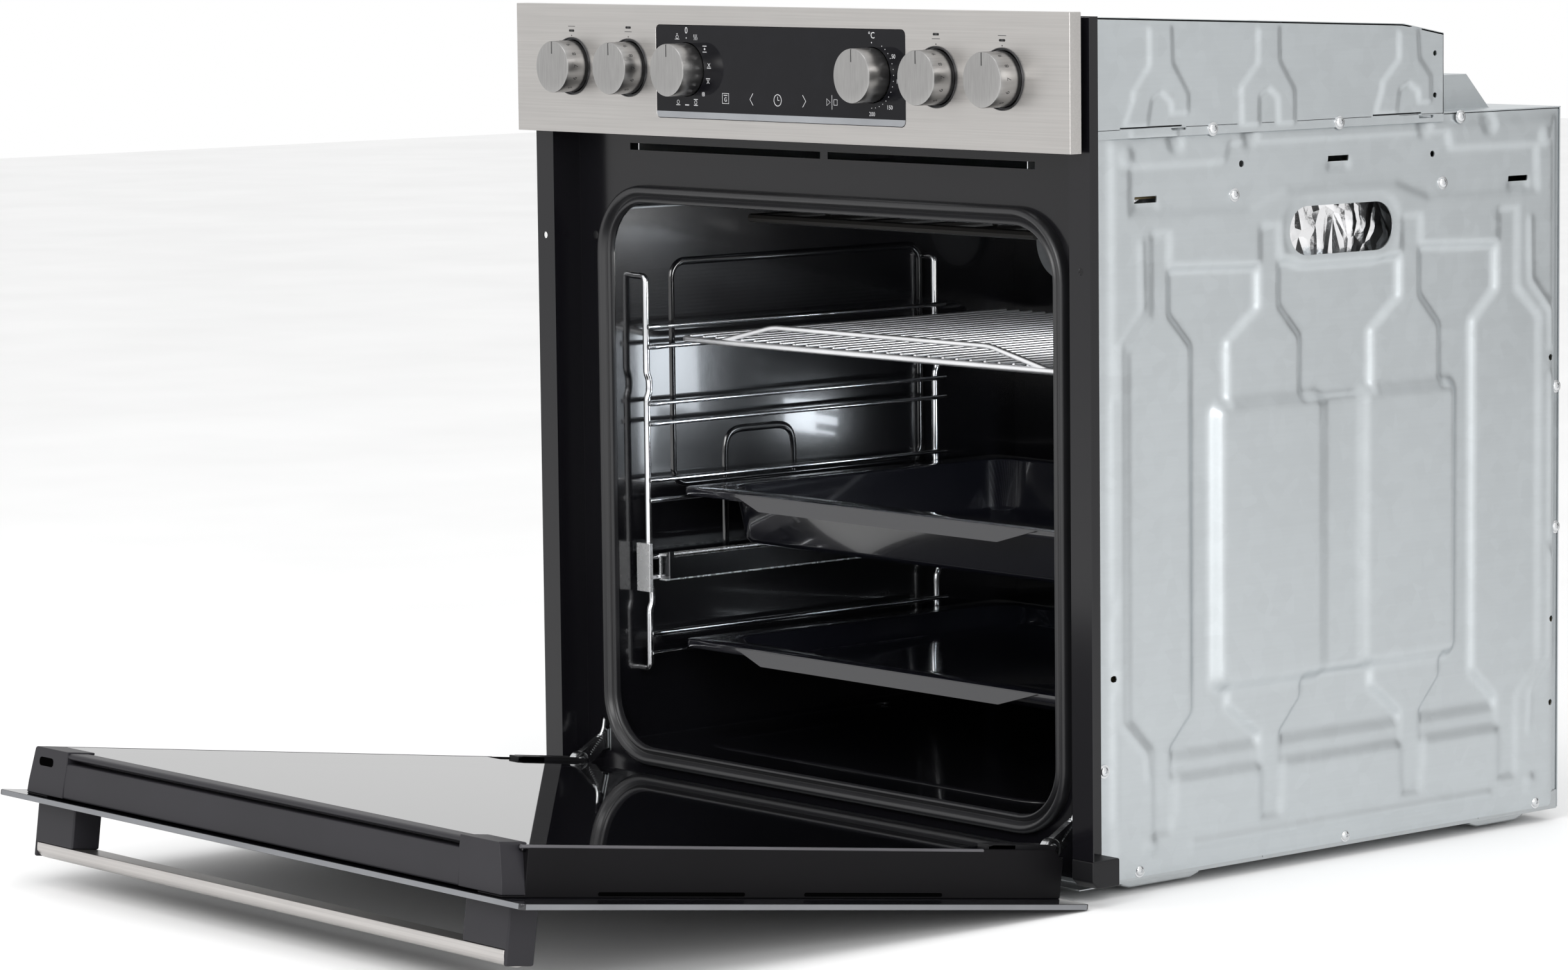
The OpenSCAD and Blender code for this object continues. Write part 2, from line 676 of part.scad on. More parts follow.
// Blower casing on the upper casing's floor, with its motor on top
module cooling_blower() {
  z0 = shoulder_z + sheet;
  h = 30;
  color("#9ea3a6") difference() {
    union() {
      translate([0, blower_y, z0]) cylinder(h = h, r = blower_r + 8, $fn = 64);
      translate([0, blower_y, z0 + h]) cylinder(h = 18, r = 24, $fn = 48);
      block([-blower_r - 14, blower_y - 8, z0], [blower_r + 14, blower_y + 8, z0 + 2]);
    }
    translate([0, blower_y, z0 - cut]) cylinder(h = h + cut - 1.2, r = blower_r + 6, $fn = 64);
    translate([0, blower_y, z0]) cylinder(h = h + 14, d = shaft_d + 2 * run_gap, $fn = 48);
    block([-16, blower_y - blower_r - 12, z0 + 4], [16, blower_y - blower_r + 6, z0 + 22]);
  }
}

module blower_rotor() {
  vanes = 16;
  z0 = shoulder_z + sheet + 5;
  color("#6f7376") translate([0, blower_y, z0]) {
    cylinder(h = 1.2, r = blower_r, $fn = 64);
    for (i = [0 : vanes - 1]) rotate([0, 0, i * 360 / vanes])
      block([blower_r - 14, -0.5, 1], [blower_r - 1, 0.5, 20]);
    cylinder(h = 20, r = 9, $fn = 48);
    cylinder(h = 36, d = shaft_d, $fn = 48);
  }
}

// Flat duct that takes the cooling air to the outlet above the door
module air_duct() {
  y1 = blower_y + blower_r + 12;
  color("#aab0b3") difference() {
    block([duct_x[0], frame_back, duct_z[0]], [duct_x[1], y1, duct_z[1]]);
    block([duct_x[0] + sheet, frame_back - cut, duct_z[0] + sheet], [duct_x[1] - sheet, y1 - sheet, duct_z[1] - sheet]);
    translate([0, blower_y, duct_z[1] - cut]) cylinder(h = 2 * cut, r = blower_r - 8, $fn = 64);
  }
}

module terminal_box() {
  x0 = side_x - 100;
  color("#2a2a2c") difference() {
    block([x0, body_depth - 2 * sheet - 28, shoulder_z - 70], [x0 + 70, body_depth - 2 * sheet, shoulder_z - 30]);
    block([x0 + 2, body_depth - 2 * sheet - 26, shoulder_z - 68],
      [x0 + 68, body_depth - 2 * sheet + cut, shoulder_z - 32]);
  }
}

// Racks, runners, shelf and trays

// Wire rack: two uprights, and two wires at each level
module rack() {
  top = level_z(levels) + pair_gap + 40;
  low = level_z(1) - 14;
  back = rack_back;
  wall = cavity_w / 2;
  wire_z(up_x, rack_front, low, top, upright_d);
  wire_z(up_x, back, low, top, upright_d);
  for (y = [rack_front, back]) {
    wire_x(up_x - 1, wall, y, top - upright_d / 2, upright_d);
    wire_x(up_x - 1, wall, y, low + upright_d / 2, upright_d);
  }
  for (n = [1 : levels]) for (dz = [0, pair_gap])
    wire_y(rack_x, rack_front - 1, back + 8, level_z(n) + dz, wire_d);
}
module rack_right() { color("#c9ccce") rack(); }
module rack_left() { color("#c9ccce") mirror([1, 0, 0]) rack(); }

// Fixed half of each telescopic runner, with its bright clip on the rack's front
module runner_rails() {
  z0 = runner_z - runner_h / 2;
  z1 = runner_z + runner_h / 2;
  y0 = rack_front + upright_d;
  color("#b4b7b9") pair() {
    difference() {
      block([runner_in - 8, y0, z0], [runner_in, y0 + runner_len, z1]);
      block([runner_in - 8 - cut, y0 - cut, z0 + 1.5], [runner_in - 1.5, y0 + runner_len + cut, z1 - 1.5]);
    }
    block([runner_in - 2.5, rack_front - upright_d / 2 - 3.5, runner_z - 18],
      [cavity_w / 2 - 4, rack_front - upright_d / 2 - 0.3, runner_z + 18]);
    block([runner_in - 2.5, rack_front - upright_d / 2 - 3.5, runner_z - 8],
      [runner_in, y0 + 2, runner_z - runner_h / 2 + 1.5]);
  }
}

// Moving half of a telescopic runner
module runner_slide() {
  gap = 0.5;
  z0 = runner_z - runner_h / 2 + 1.5 + gap;
  z1 = runner_z + runner_h / 2 - 1.5 - gap;
  y0 = rack_front + upright_d;
  color("#9fa3a6") {
    block([runner_in - 13, y0, z0], [runner_in - 3, y0 + runner_len - 10, z1]);
    block([runner_in - 13, y0, z1 - 1], [runner_in - 10, y0 + 4, z1 + 4]);
    block([runner_in - 13, y0 + runner_len - 14, z1 - 1], [runner_in - 10, y0 + runner_len - 10, z1 + 4]);
  }
}
module runner_slide_right() { runner_slide(); }
module runner_slide_left() { mirror([1, 0, 0]) runner_slide(); }

// Chromed shelf: outer frame, cross wires from front to back and a raised front rail
module wire_shelf() {
  z = level_z(shelf_level) + wire_d / 2 + 0.5 + shelf_frame / 2;
  wires = 30;
  half = rim_x - shelf_frame / 2;
  step = 2 * (half - 10) / (wires - 1);
  rise = 14;
  rail_half = half - 108;
  color("#d2d5d7") {
    pair() {
      wire_y(half, tray_front, tray_back, z, shelf_frame);
      // sloped end and upright of the raised rail
      translate([rail_half, tray_front, z + rise]) rotate([0, 90 + atan(rise / 50), 0])
        cylinder(h = norm([50, rise]), d = shelf_frame - 1, $fn = wire_sides);
    }
    wire_x(-half - shelf_frame / 2, half + shelf_frame / 2, tray_front, z, shelf_frame);
    wire_x(-half - shelf_frame / 2, half + shelf_frame / 2, tray_back, z, shelf_frame);
    wire_x(-half, half, (tray_front + tray_back) / 2, z - 1, shelf_frame);
    wire_x(-rail_half - 1, rail_half + 1, tray_front, z + rise, shelf_frame - 1);
    for (i = [0 : wires - 1])
      wire_y(-half + 10 + i * step, tray_front, tray_back, z + 1, shelf_wire);
  }
}

// Pressed tray with a turned rim and a folded front lip
module tray(level, depth) {
  z1 = level_z(level) + rim_lift + rim_h;
  pan_x = rim_x - 24;
  pan_y = [tray_front + 22, tray_back - 14];
  lip = [[-rim_x + 63, z1 - 0.6], [-rim_x + 98, z1 - 11], [rim_x - 98, z1 - 11], [rim_x - 63, z1 - 0.6]];
  difference() {
    union() {
      plate_z(round_box(-rim_x, rim_x, tray_front, tray_back, 8), z1 - rim_h, z1);
      plate_z(round_box(-pan_x, pan_x, pan_y[0], pan_y[1], 26), z1 - depth, z1);
      plate_y(lip, tray_front - tray_t, tray_front);
    }
    // underside of the rim
    difference() {
      plate_z(round_box(-rim_x + tray_t, rim_x - tray_t, tray_front + tray_t, tray_back - tray_t, 7),
        z1 - rim_h - cut, z1 - tray_t);
      plate_z(round_box(-pan_x, pan_x, pan_y[0], pan_y[1], 26), z1 - depth - cut, z1 + cut);
    }
    // inside of the pan
    plate_z(round_box(-pan_x + tray_t, pan_x - tray_t, pan_y[0] + tray_t, pan_y[1] - tray_t, 25),
      z1 - depth + tray_t, z1 + cut);
  }
}
module deep_tray() { color("#1a1a1d") tray(deep_level, deep_h); }
module shallow_tray() { color("#1a1a1d") tray(shallow_level, shallow_h); }

// Hinges

// Hinge arm fixed in the housing: an eye on the pin, a knuckle and a hooked tail in the frame's slot
module hinge_arms() {
  knuckle = hinge_z + 17;
  link = [[hinge_y + 1, knuckle - 8], [frame_y - 4, slot_z[0] + 1], [frame_y + 16, slot_z[0] + 4],
    [frame_y + 16, slot_z[1] - 4], [frame_y + 8, slot_z[1] - 4], [hinge_y + 1, knuckle + 8]];
  color("#aeb2b5") pair() difference() {
    union() {
      round_x(hinge_y, hinge_z, hinge_x - arm_t / 2, hinge_x + arm_t / 2, pin_d + 8);
      round_x(hinge_y, knuckle, hinge_x - arm_t / 2, hinge_x + arm_t / 2, 16);
      block([hinge_x - arm_t / 2, hinge_y - 5, hinge_z], [hinge_x + arm_t / 2, hinge_y + 5, knuckle]);
      plate_x(link, hinge_x - arm_t / 2, hinge_x + arm_t / 2);
    }
    round_x(hinge_y, hinge_z, hinge_x - arm_t, hinge_x + arm_t, pin_d + 2 * run_gap);
  }
}

// Channels behind the front frame that the hinge arms hook into
module hinge_receivers() {
  y1 = frame_back + 50;
  wall = 2;
  inner = arm_t / 2 + 0.5;
  color("#a6abae") pair() {
    for (x = [hinge_x - inner - wall, hinge_x + inner])
      block([x, frame_back, slot_z[0] - 8], [x + wall, y1, slot_z[1] + 8]);
    block([hinge_x - inner - wall, y1 - wall, slot_z[0] - 8], [hinge_x + inner + wall, y1, slot_z[1] + 8]);
    block([hinge_x - inner - wall, frame_back, slot_z[0] - 8], [hinge_x + inner + wall, y1, slot_z[0] - 6]);
    block([hinge_x - inner, frame_y + 10, slot_z[0] - 7], [hinge_x + inner, frame_y + 14, slot_z[0] + 1]);
  }
}

// Door

module door_panel() {
  half = front_w / 2;
  color("#15161a") hang_door()
    plate_y(round_box(-half, half, door_bottom, door_bottom + door_len, 3), door_y - panel_t, door_y);
}

// Side rails and lower rail of the door, with the hinge channels
module door_frame() {
  z0 = door_bottom + 2;
  inner = door_x - rail_w;
  color("#2b2b2f") hang_door() difference() {
    union() {
      pair() block([inner, door_y, z0], [door_x, door_in - pane_t, door_top]);
      block([-inner, door_y, z0], [inner, door_in - pane_t, z0 + frame_gap_z]);
      // rims beside the inner glass
      pair() block([door_x - 3, door_y, z0], [door_x, door_in, door_top - trim_h]);
    }
    // middle pane
    block([-inner - 5, pane_y, z0 + 5], [inner + 5, pane_y + pane_t, door_top + cut]);
    pair() {
      block([hinge_x - hinge_slot / 2, door_y + 2, z0 - cut], [hinge_x + hinge_slot / 2, door_in + cut, z0 + 78]);
      // corners cut away at the hinge end
      translate([0, door_in, z0]) rotate([45, 0, 0])
        block([inner - cut, -6, -6], [door_x + cut, 6, 6]);
    }
    // seat of the trim
    block([-door_x - cut, door_y + 1.5, door_top - trim_h], [door_x + cut, door_in + cut, door_top + cut]);
  }
}
// Trim along the door's top edge: air slot and latch hole
module door_trim() {
  cap_w = 46;
  z0 = door_top - trim_h;
  color("#35353a") hang_door() difference() {
    block([-door_x, door_y + 1.5, z0], [door_x, door_in, door_top]);
    // seat of the inner glass
    block([-door_x + 3, door_in - pane_t, z0 - cut], [door_x - 3, door_in + cut, z0 + 3]);
    // middle pane
    block([-door_x + rail_w - 5, pane_y, z0 - cut], [door_x - rail_w + 5, pane_y + pane_t, z0 + 6]);
    // air slot between the corner caps
    block([-door_x + cap_w, door_in - 6, z0 + 5], [door_x - cap_w, door_in - 3, door_top + cut]);
    // latch hole
    block([-door_x + 13, door_in - 14, door_top - 8], [-door_x + 31, door_in - 7, door_top + cut]);
  }
}

module door_inner_glass() {
  color([0.75, 0.78, 0.8, 0.4]) hang_door() difference() {
    block([-door_x + 3, door_in - pane_t, door_bottom + 8], [door_x - 3, door_in, door_top - trim_h + 3]);
    pair() block([hinge_x - hinge_slot / 2 - fit_gap, door_in - pane_t - cut, door_bottom],
      [door_x, door_in + cut, door_bottom + 82]);
  }
}

module door_middle_glass() {
  color([0.75, 0.78, 0.8, 0.4]) hang_door()
    block([-door_x + rail_w - 5, pane_y, door_bottom + 7], [door_x - rail_w + 5, pane_y + pane_t, door_top - trim_h + 6]);
}

// Steel channels in the door's rails, each with its hinge pin
module hinge_bodies() {
  wall = 1.5;
  half = hinge_slot / 2;
  color("#9da1a4") hang_door() pair() {
    for (x = [hinge_x - half, hinge_x + half - wall])
      block([x, door_y + 3, door_bottom - 4], [x + wall, door_in - 6, door_bottom + 70]);
    block([hinge_x - half, door_y + 2, door_bottom - 4], [hinge_x + half, door_y + 3.5, door_bottom + 70]);
    block([hinge_x - half, door_y + 3, door_bottom + 64], [hinge_x + half, door_in - 8, door_bottom + 70]);
    round_x(hinge_y, hinge_z, hinge_x - half, hinge_x + half, pin_d);
  }
}

// Handle: two posts with side plates over the ends of a half-round bar
module handle_posts() {
  x1 = door_x - 1.4;
  plate = 3;
  color("#2b2c30") hang_door() pair() {
    block([x1 - post_w, bar_y, handle_z - bar_h], [x1 - plate, door_y - panel_t, handle_z]);
    block([x1 - plate, bar_y - bar_t + 1, handle_z - bar_h], [x1, door_y - panel_t, handle_z]);
  }
}

module handle_bar() {
  x1 = door_x - 1.4 - 3;
  crown = 0.35;
  steps = 12;
  section = concat([[bar_y, handle_z - bar_h], [bar_y, handle_z]],
    [for (i = [0 : steps]) let (a = 90 - i * 180 / steps)
      [bar_y - bar_t * crown - bar_t * (1 - crown) * cos(a), handle_z - bar_h / 2 + bar_h / 2 * sin(a)]]);
  color("#c6c3bf") hang_door() plate_x(section, -x1, x1);
}

// Screws of the casings, on both sides
module housing_screws() {
  head = 7;
  outer_x = side_x + sheet;
  upper_y = [body_depth - 354, body_depth - 231, body_depth - 108];
  lower_y = [body_depth - 425.5, body_depth - 225, body_depth - 26];
  color("#b5b8ba") pair() {
    for (y = upper_y) round_x(y, shoulder_z - 3, outer_x, outer_x + 2.2, head);
    for (y = lower_y) round_x(y, 10, outer_x, outer_x + 2.2, head);
  }
}

base_pan();
side_panel_left();
side_panel_right();
rear_panel();
rear_cover();
top_cover();
front_frame();
door_gasket();
frame_corners();
cavity();
insulation();
fascia();
fascia_carrier();
display_window();
control_board();
control_units();
knob_collars();
hob_spindle_1();
hob_spindle_2();
hob_spindle_3();
hob_spindle_4();
function_spindle();
temperature_spindle();
hob_knob_1();
hob_knob_2();
hob_knob_3();
hob_knob_4();
function_knob();
temperature_knob();
grill_element();
bottom_element();
ring_element();
fan_cover();
convection_fan();
fan_motor();
oven_lamp();
lamp_lens();
cooling_blower();
blower_rotor();
air_duct();
terminal_box();
rack_left();
rack_right();
runner_rails();
runner_slide_left();
runner_slide_right();
wire_shelf();
deep_tray();
shallow_tray();
hinge_arms();
hinge_receivers();
door_panel();
door_frame();
door_trim();
door_inner_glass();
door_middle_glass();
hinge_bodies();
handle_posts();
handle_bar();
housing_screws();
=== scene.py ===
"""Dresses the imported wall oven.

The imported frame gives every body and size. This script adds the finishes, the pressed sheet, wires,
glass, seals, controls and fixings round it, each on the body it belongs to. Sizes are in millimetres
in the frame's own axes: X across the front, Y into the cabinet, Z up.
"""

import json
import logging
import math
from collections.abc import Callable, Iterable, Sequence
from dataclasses import dataclass, field
from enum import Enum

import bmesh
import bpy
import numpy as np
from mathutils import Matrix, Vector

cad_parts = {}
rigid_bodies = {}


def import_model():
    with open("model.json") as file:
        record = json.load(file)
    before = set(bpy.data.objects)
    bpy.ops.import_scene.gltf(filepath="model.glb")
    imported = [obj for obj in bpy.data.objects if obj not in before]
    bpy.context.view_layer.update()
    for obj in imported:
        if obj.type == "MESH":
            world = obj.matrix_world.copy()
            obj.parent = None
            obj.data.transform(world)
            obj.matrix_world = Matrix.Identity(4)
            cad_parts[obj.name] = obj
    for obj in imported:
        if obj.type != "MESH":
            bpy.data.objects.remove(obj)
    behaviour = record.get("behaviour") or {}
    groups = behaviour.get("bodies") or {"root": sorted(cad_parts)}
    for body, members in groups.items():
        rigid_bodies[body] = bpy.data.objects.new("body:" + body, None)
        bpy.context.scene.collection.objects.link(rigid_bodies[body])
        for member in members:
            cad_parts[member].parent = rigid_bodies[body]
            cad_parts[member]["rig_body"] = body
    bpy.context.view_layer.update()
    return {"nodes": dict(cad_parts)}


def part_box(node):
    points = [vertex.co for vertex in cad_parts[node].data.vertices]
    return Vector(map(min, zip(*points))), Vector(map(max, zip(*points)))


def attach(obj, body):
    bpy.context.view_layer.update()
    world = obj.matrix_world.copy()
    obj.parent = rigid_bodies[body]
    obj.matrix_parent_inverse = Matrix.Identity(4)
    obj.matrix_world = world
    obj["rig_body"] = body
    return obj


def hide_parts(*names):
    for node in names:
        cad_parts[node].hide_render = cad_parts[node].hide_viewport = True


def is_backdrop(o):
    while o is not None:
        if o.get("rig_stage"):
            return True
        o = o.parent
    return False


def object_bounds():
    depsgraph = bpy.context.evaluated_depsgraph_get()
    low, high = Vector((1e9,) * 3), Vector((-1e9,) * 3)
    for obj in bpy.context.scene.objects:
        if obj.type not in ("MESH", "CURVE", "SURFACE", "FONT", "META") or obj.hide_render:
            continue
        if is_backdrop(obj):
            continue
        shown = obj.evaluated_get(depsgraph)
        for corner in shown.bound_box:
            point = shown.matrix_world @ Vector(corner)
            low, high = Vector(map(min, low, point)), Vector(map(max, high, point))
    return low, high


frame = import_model()

MM = 0.001
LOG = logging.getLogger("oven")

Point = tuple[float, float, float]
Flat = tuple[float, float]
Colour = tuple[float, float, float]


class Body(str, Enum):
    """Moving bodies of the oven that pieces ride on."""

    HOUSING = "housing"
    DOOR = "door"
    SHELF = "wire_shelf"
    DEEP = "deep_tray"
    SHALLOW = "shallow_tray"


class Side(Enum):
    """Right and left of the oven, as the sign of X."""

    RIGHT = 1
    LEFT = -1


# Shader maths


class Signal:
    """One number, colour or vector that varies over a surface. Arithmetic adds Math nodes."""

    def __init__(self, paint: "Paint", socket: bpy.types.NodeSocket) -> None:
        """Keeps the paint that owns the node and the node's output socket."""
        self.paint = paint
        self.socket = socket

    def maths(self, operation: str, first: "Signal | float", second: "Signal | float") -> "Signal":
        """Adds one Math node.

        Args:
            operation: the node's operation.
            first: its first value.
            second: its second value.

        Returns:
            The node's result.
        """
        return self.paint.node("ShaderNodeMath", {"operation": operation}, {0: first, 1: second})

    def __add__(self, other: "Signal | float") -> "Signal":
        """Sum."""
        return self.maths("ADD", self, other)

    def __radd__(self, other: float) -> "Signal":
        """Sum, number first."""
        return self.maths("ADD", other, self)

    def __sub__(self, other: "Signal | float") -> "Signal":
        """Difference."""
        return self.maths("SUBTRACT", self, other)

    def __rsub__(self, other: float) -> "Signal":
        """Difference, number first."""
        return self.maths("SUBTRACT", other, self)

    def __mul__(self, other: "Signal | float") -> "Signal":
        """Product."""
        return self.maths("MULTIPLY", self, other)

    def __rmul__(self, other: float) -> "Signal":
        """Product, number first."""
        return self.maths("MULTIPLY", other, self)

    def over(self, low: float, high: float) -> "Signal":
        """The signal rescaled so that low gives 0 and high gives 1, clamped."""
        return self.paint.node(
            "ShaderNodeMapRange", {"clamp": True}, {"Value": self, "From Min": low, "From Max": high}
        )


class Paint:
    """Builds the nodes of one material."""

    def __init__(self, name: str) -> None:
        """Starts an empty material.

        Args:
            name: the material's name.
        """
        self.material = bpy.data.materials.new(name)
        self.material.use_nodes = True
        self.tree = self.material.node_tree
        self.tree.nodes.clear()
        self.output = self.tree.nodes.new("ShaderNodeOutputMaterial")

    def node(
        self, kind: str, settings: dict[str, object] | None = None,
        values: dict[str | int, object] | None = None, output: int = 0,
    ) -> Signal:
        """Adds a node.

        Args:
            kind: the node's type.
            settings: its properties, and "stops" for a ramp, which are set first.
            values: numbers or signals for its input sockets.
            output: which output to return.

        Returns:
            That output.
        """
        made = self.tree.nodes.new(kind)
        for key, value in (settings or {}).items():
            if key == "stops":
                for place, (at, shade) in enumerate(value):
                    stops = made.color_ramp.elements
                    stop = stops[place] if place < len(stops) else stops.new(at)
                    stop.position = at
                    stop.color = (*shade, 1.0)
            else:
                setattr(made, key, value)
        for key, value in (values or {}).items():
            if isinstance(value, Signal):
                self.tree.links.new(value.socket, made.inputs[key])
            else:
                made.inputs[key].default_value = value
        return Signal(self, made.outputs[output])

    def place(self, stretch: Point = (1.0, 1.0, 1.0), turn: Point = (0.0, 0.0, 0.0)) -> Signal:
        """Object coordinates in metres, scaled by stretch and turned."""
        where = self.node("ShaderNodeTexCoord", output=3)
        return self.node("ShaderNodeMapping", values={"Vector": where, "Scale": stretch, "Rotation": turn})

    def noise(
        self, scale: float, detail: float = 3.0, stretch: Point = (1.0, 1.0, 1.0), turn: Point = (0, 0, 0)
    ) -> Signal:
        """Smooth noise, about 0.5 on average.

        Args:
            scale: cells per metre.
            detail: octaves.
            stretch: scale along each axis.
            turn: rotation of the pattern.

        Returns:
            The noise.
        """
        return self.node(
            "ShaderNodeTexNoise",
            values={"Vector": self.place(stretch, turn), "Scale": scale, "Detail": detail, "Roughness": 0.55},
        )

    def cells(self, scale: float, stretch: Point = (1.0, 1.0, 1.0), output: int = 0) -> Signal:
        """Voronoi cells: distance at output 0, cell colour at output 1."""
        return self.node(
            "ShaderNodeTexVoronoi", values={"Vector": self.place(stretch), "Scale": scale}, output=output
        )

    def blend(self, share: Signal, low: Colour, high: Colour) -> Signal:
        """Colour that goes from low to high with share."""
        return self.node(
            "ShaderNodeMix", {"data_type": "RGBA"},
            {0: share, 6: (*low, 1.0), 7: (*high, 1.0)}, output=2,
        )

    def bump(self, height: Signal, depth_mm: float, strength: float = 1.0) -> Signal:
        """Normal bent by a height signal that is depth_mm from 0 to 1."""
        return self.node(
            "ShaderNodeBump", values={"Height": height, "Distance": depth_mm * MM, "Strength": strength}
        )

    def surface(self, **values: object) -> None:
        """Adds the Principled shader and joins it to the output. Underscores in names stand for spaces."""
        shader = self.node(
            "ShaderNodeBsdfPrincipled", values={k.replace("_", " "): v for k, v in values.items()}
        )
        self.tree.links.new(shader.socket, self.output.inputs["Surface"])


def shade(colour: Colour, factor: float) -> Colour:
    """The colour multiplied by a factor."""
    return (colour[0] * factor, colour[1] * factor, colour[2] * factor)


@dataclass(frozen=True)
class Finish:
    """A surface finish: its material's name, its colour and its roughness."""

    name: str
    colour: Colour
    roughness: float

    def lay(self, paint: Paint) -> None:
        """Builds the material's nodes. Each kind of finish has its own."""
        raise NotImplementedError

    def material(self) -> bpy.types.Material:
        """The finish's material, made the first time it is asked for."""
        ready = bpy.data.materials.get(self.name)
        if ready:
            return ready
        paint = Paint(self.name)
        self.lay(paint)
        return paint.material


@dataclass(frozen=True)
class Brushed(Finish):
    """Steel with fine parallel scratches."""

    stretch: Point = (6.0, 900.0, 900.0)
    depth: float = 0.02
    contrast: float = 0.10
    turn: Point = (0.0, 0.0, 0.0)
    metallic: float = 1.0

    def lay(self, paint: Paint) -> None:
        """Streaks change colour, roughness and the normal; a slow cloud varies them."""
        streak = paint.noise(1.0, 2.0, self.stretch, self.turn)
        cloud = paint.noise(14.0, 2.0)
        tone = streak * 0.75 + cloud * 0.25
        paint.surface(
            Base_Color=paint.blend(
                tone.over(0.3, 0.7), shade(self.colour, 1 - self.contrast),
                shade(self.colour, 1 + self.contrast)
            ),
            Metallic=self.metallic,
            Roughness=self.roughness - 0.05 + streak * 0.1,
            Normal=paint.bump(streak, self.depth, 0.5),
        )


@dataclass(frozen=True)
class Galvanised(Finish):
    """Zinc-coated sheet: soft spangle, faint rolling lines and slight staining."""

    spangle: float = 95.0
    metallic: float = 0.85

    def lay(self, paint: Paint) -> None:
        """Cells give the spangle; stretched noise gives the rolling lines."""
        grain = paint.cells(self.spangle, output=1)
        mono = paint.node("ShaderNodeRGBToBW", values={"Color": grain})
        lines = paint.noise(1.0, 2.0, (500.0, 12.0, 500.0))
        stain = paint.noise(7.0, 4.0)
        fine = paint.noise(900.0, 2.0)
        tone = mono * 0.3 + lines * 0.3 + stain * 0.4
        paint.surface(
            Base_Color=paint.blend(tone.over(0.25, 0.75), shade(self.colour, 0.95), shade(self.colour, 1.05)),
            Metallic=self.metallic,
            Roughness=self.roughness - 0.06 + mono * 0.06 + stain * 0.08,
            Normal=paint.bump(fine * 0.6 + lines * 0.4, 0.02, 0.35),
        )


@dataclass(frozen=True)
class Enamel(Finish):
    """Fired enamel: glossy, gently rippled, with tiny specks."""

    ripple: float = 0.05
    speck: float = 0.0
    coat: float = 0.6
    ior: float = 1.55

    def lay(self, paint: Paint) -> None:
        """Slow ripples bend the gloss; small pale specks lie in the colour."""
        wave = paint.noise(120.0, 2.0)
        slow = paint.noise(22.0, 2.0)
        dots = paint.cells(420.0)
        speck = 1.0 - dots.over(0.02, 0.12)
        pick = paint.noise(300.0, 1.0).over(0.62, 0.7)
        paint.surface(
            Base_Color=paint.blend(speck * pick * self.speck, self.colour, (0.35, 0.36, 0.38)),
            Roughness=self.roughness + slow * 0.05,
            IOR=self.ior,
            Coat_Weight=self.coat,
            Coat_Roughness=0.05,
            Normal=paint.bump(wave * 0.6 + slow * 0.4, self.ripple, 0.6),
        )


@dataclass(frozen=True)
class Moulded(Finish):
    """Moulded plastic, rubber or paint with a fine even texture."""

    texture: float = 1400.0
    depth: float = 0.03
    metallic: float = 0.0
    shine: float = 0.5

    def lay(self, paint: Paint) -> None:
        """Fine texture in the normal, with small changes of tone and gloss."""
        fine = paint.noise(self.texture, 2.0)
        cloud = paint.noise(18.0, 3.0)
        paint.surface(
            Base_Color=paint.blend(cloud.over(0.3, 0.7), shade(self.colour, 0.9), shade(self.colour, 1.1)),
            Metallic=self.metallic,
            Roughness=self.roughness - 0.05 + cloud * 0.1,
            Specular_IOR_Level=self.shine,
            Normal=paint.bump(fine, self.depth, 0.5),
        )


@dataclass(frozen=True)
class Glass(Finish):
    """Polished glass, clear or printed black on its back."""

    alpha: float = 1.0
    ior: float = 1.5

    def lay(self, paint: Paint) -> None:
        """Very slow waves and a trace of dust keep the polish from being perfect."""
        slow = paint.noise(3.0, 1.0)
        dust = paint.noise(60.0, 4.0)
        paint.surface(
            Base_Color=paint.blend(dust.over(0.45, 0.8), self.colour, shade(self.colour, 1.35)),
            Roughness=self.roughness + dust * 0.03,
            IOR=self.ior,
            Alpha=self.alpha,
            Normal=paint.bump(slow, 0.05, 0.3),
        )


@dataclass(frozen=True)
class Chrome(Finish):
    """Plated wire: bright, with faint clouding and pits."""

    def lay(self, paint: Paint) -> None:
        """Pits roughen the plating a little."""
        pits = paint.noise(700.0, 3.0)
        cloud = paint.noise(30.0, 2.0)
        paint.surface(
            Base_Color=paint.blend(cloud.over(0.3, 0.7), shade(self.colour, 0.92), shade(self.colour, 1.05)),
            Metallic=1.0,
            Roughness=self.roughness + pits * 0.08,
            Normal=paint.bump(pits, 0.01, 0.4),
        )


@dataclass(frozen=True)
class Crinkled(Finish):
    """Aluminium foil with sharp creases, over the wool."""

    def lay(self, paint: Paint) -> None:
        """Stretched cells crease the foil."""
        crease = paint.node(
            "ShaderNodeTexVoronoi", {"feature": "DISTANCE_TO_EDGE"},
            {"Vector": paint.place((1.0, 1.0, 0.6)), "Scale": 55.0},
        )
        soft = paint.noise(35.0, 5.0)
        paint.surface(
            Base_Color=paint.blend(soft.over(0.3, 0.7), shade(self.colour, 0.9), self.colour),
            Metallic=1.0,
            Roughness=self.roughness + soft * 0.1,
            Normal=paint.bump(crease.over(0.0, 0.25) * 0.5 + soft * 0.5, 3.0, 0.9),
        )


@dataclass(frozen=True)
class Fibrous(Finish):
    """Pressed mineral wool."""

    def lay(self, paint: Paint) -> None:
        """Long noise gives the fibres."""
        fibre = paint.noise(1.0, 4.0, (60.0, 60.0, 900.0))
        cloud = paint.noise(25.0, 3.0)
        paint.surface(
            Base_Color=paint.blend(
                (fibre * 0.7 + cloud * 0.3).over(0.3, 0.7), shade(self.colour, 0.75), shade(self.colour, 1.1)
            ),
            Roughness=self.roughness,
            Normal=paint.bump(fibre, 0.8, 0.8),
        )


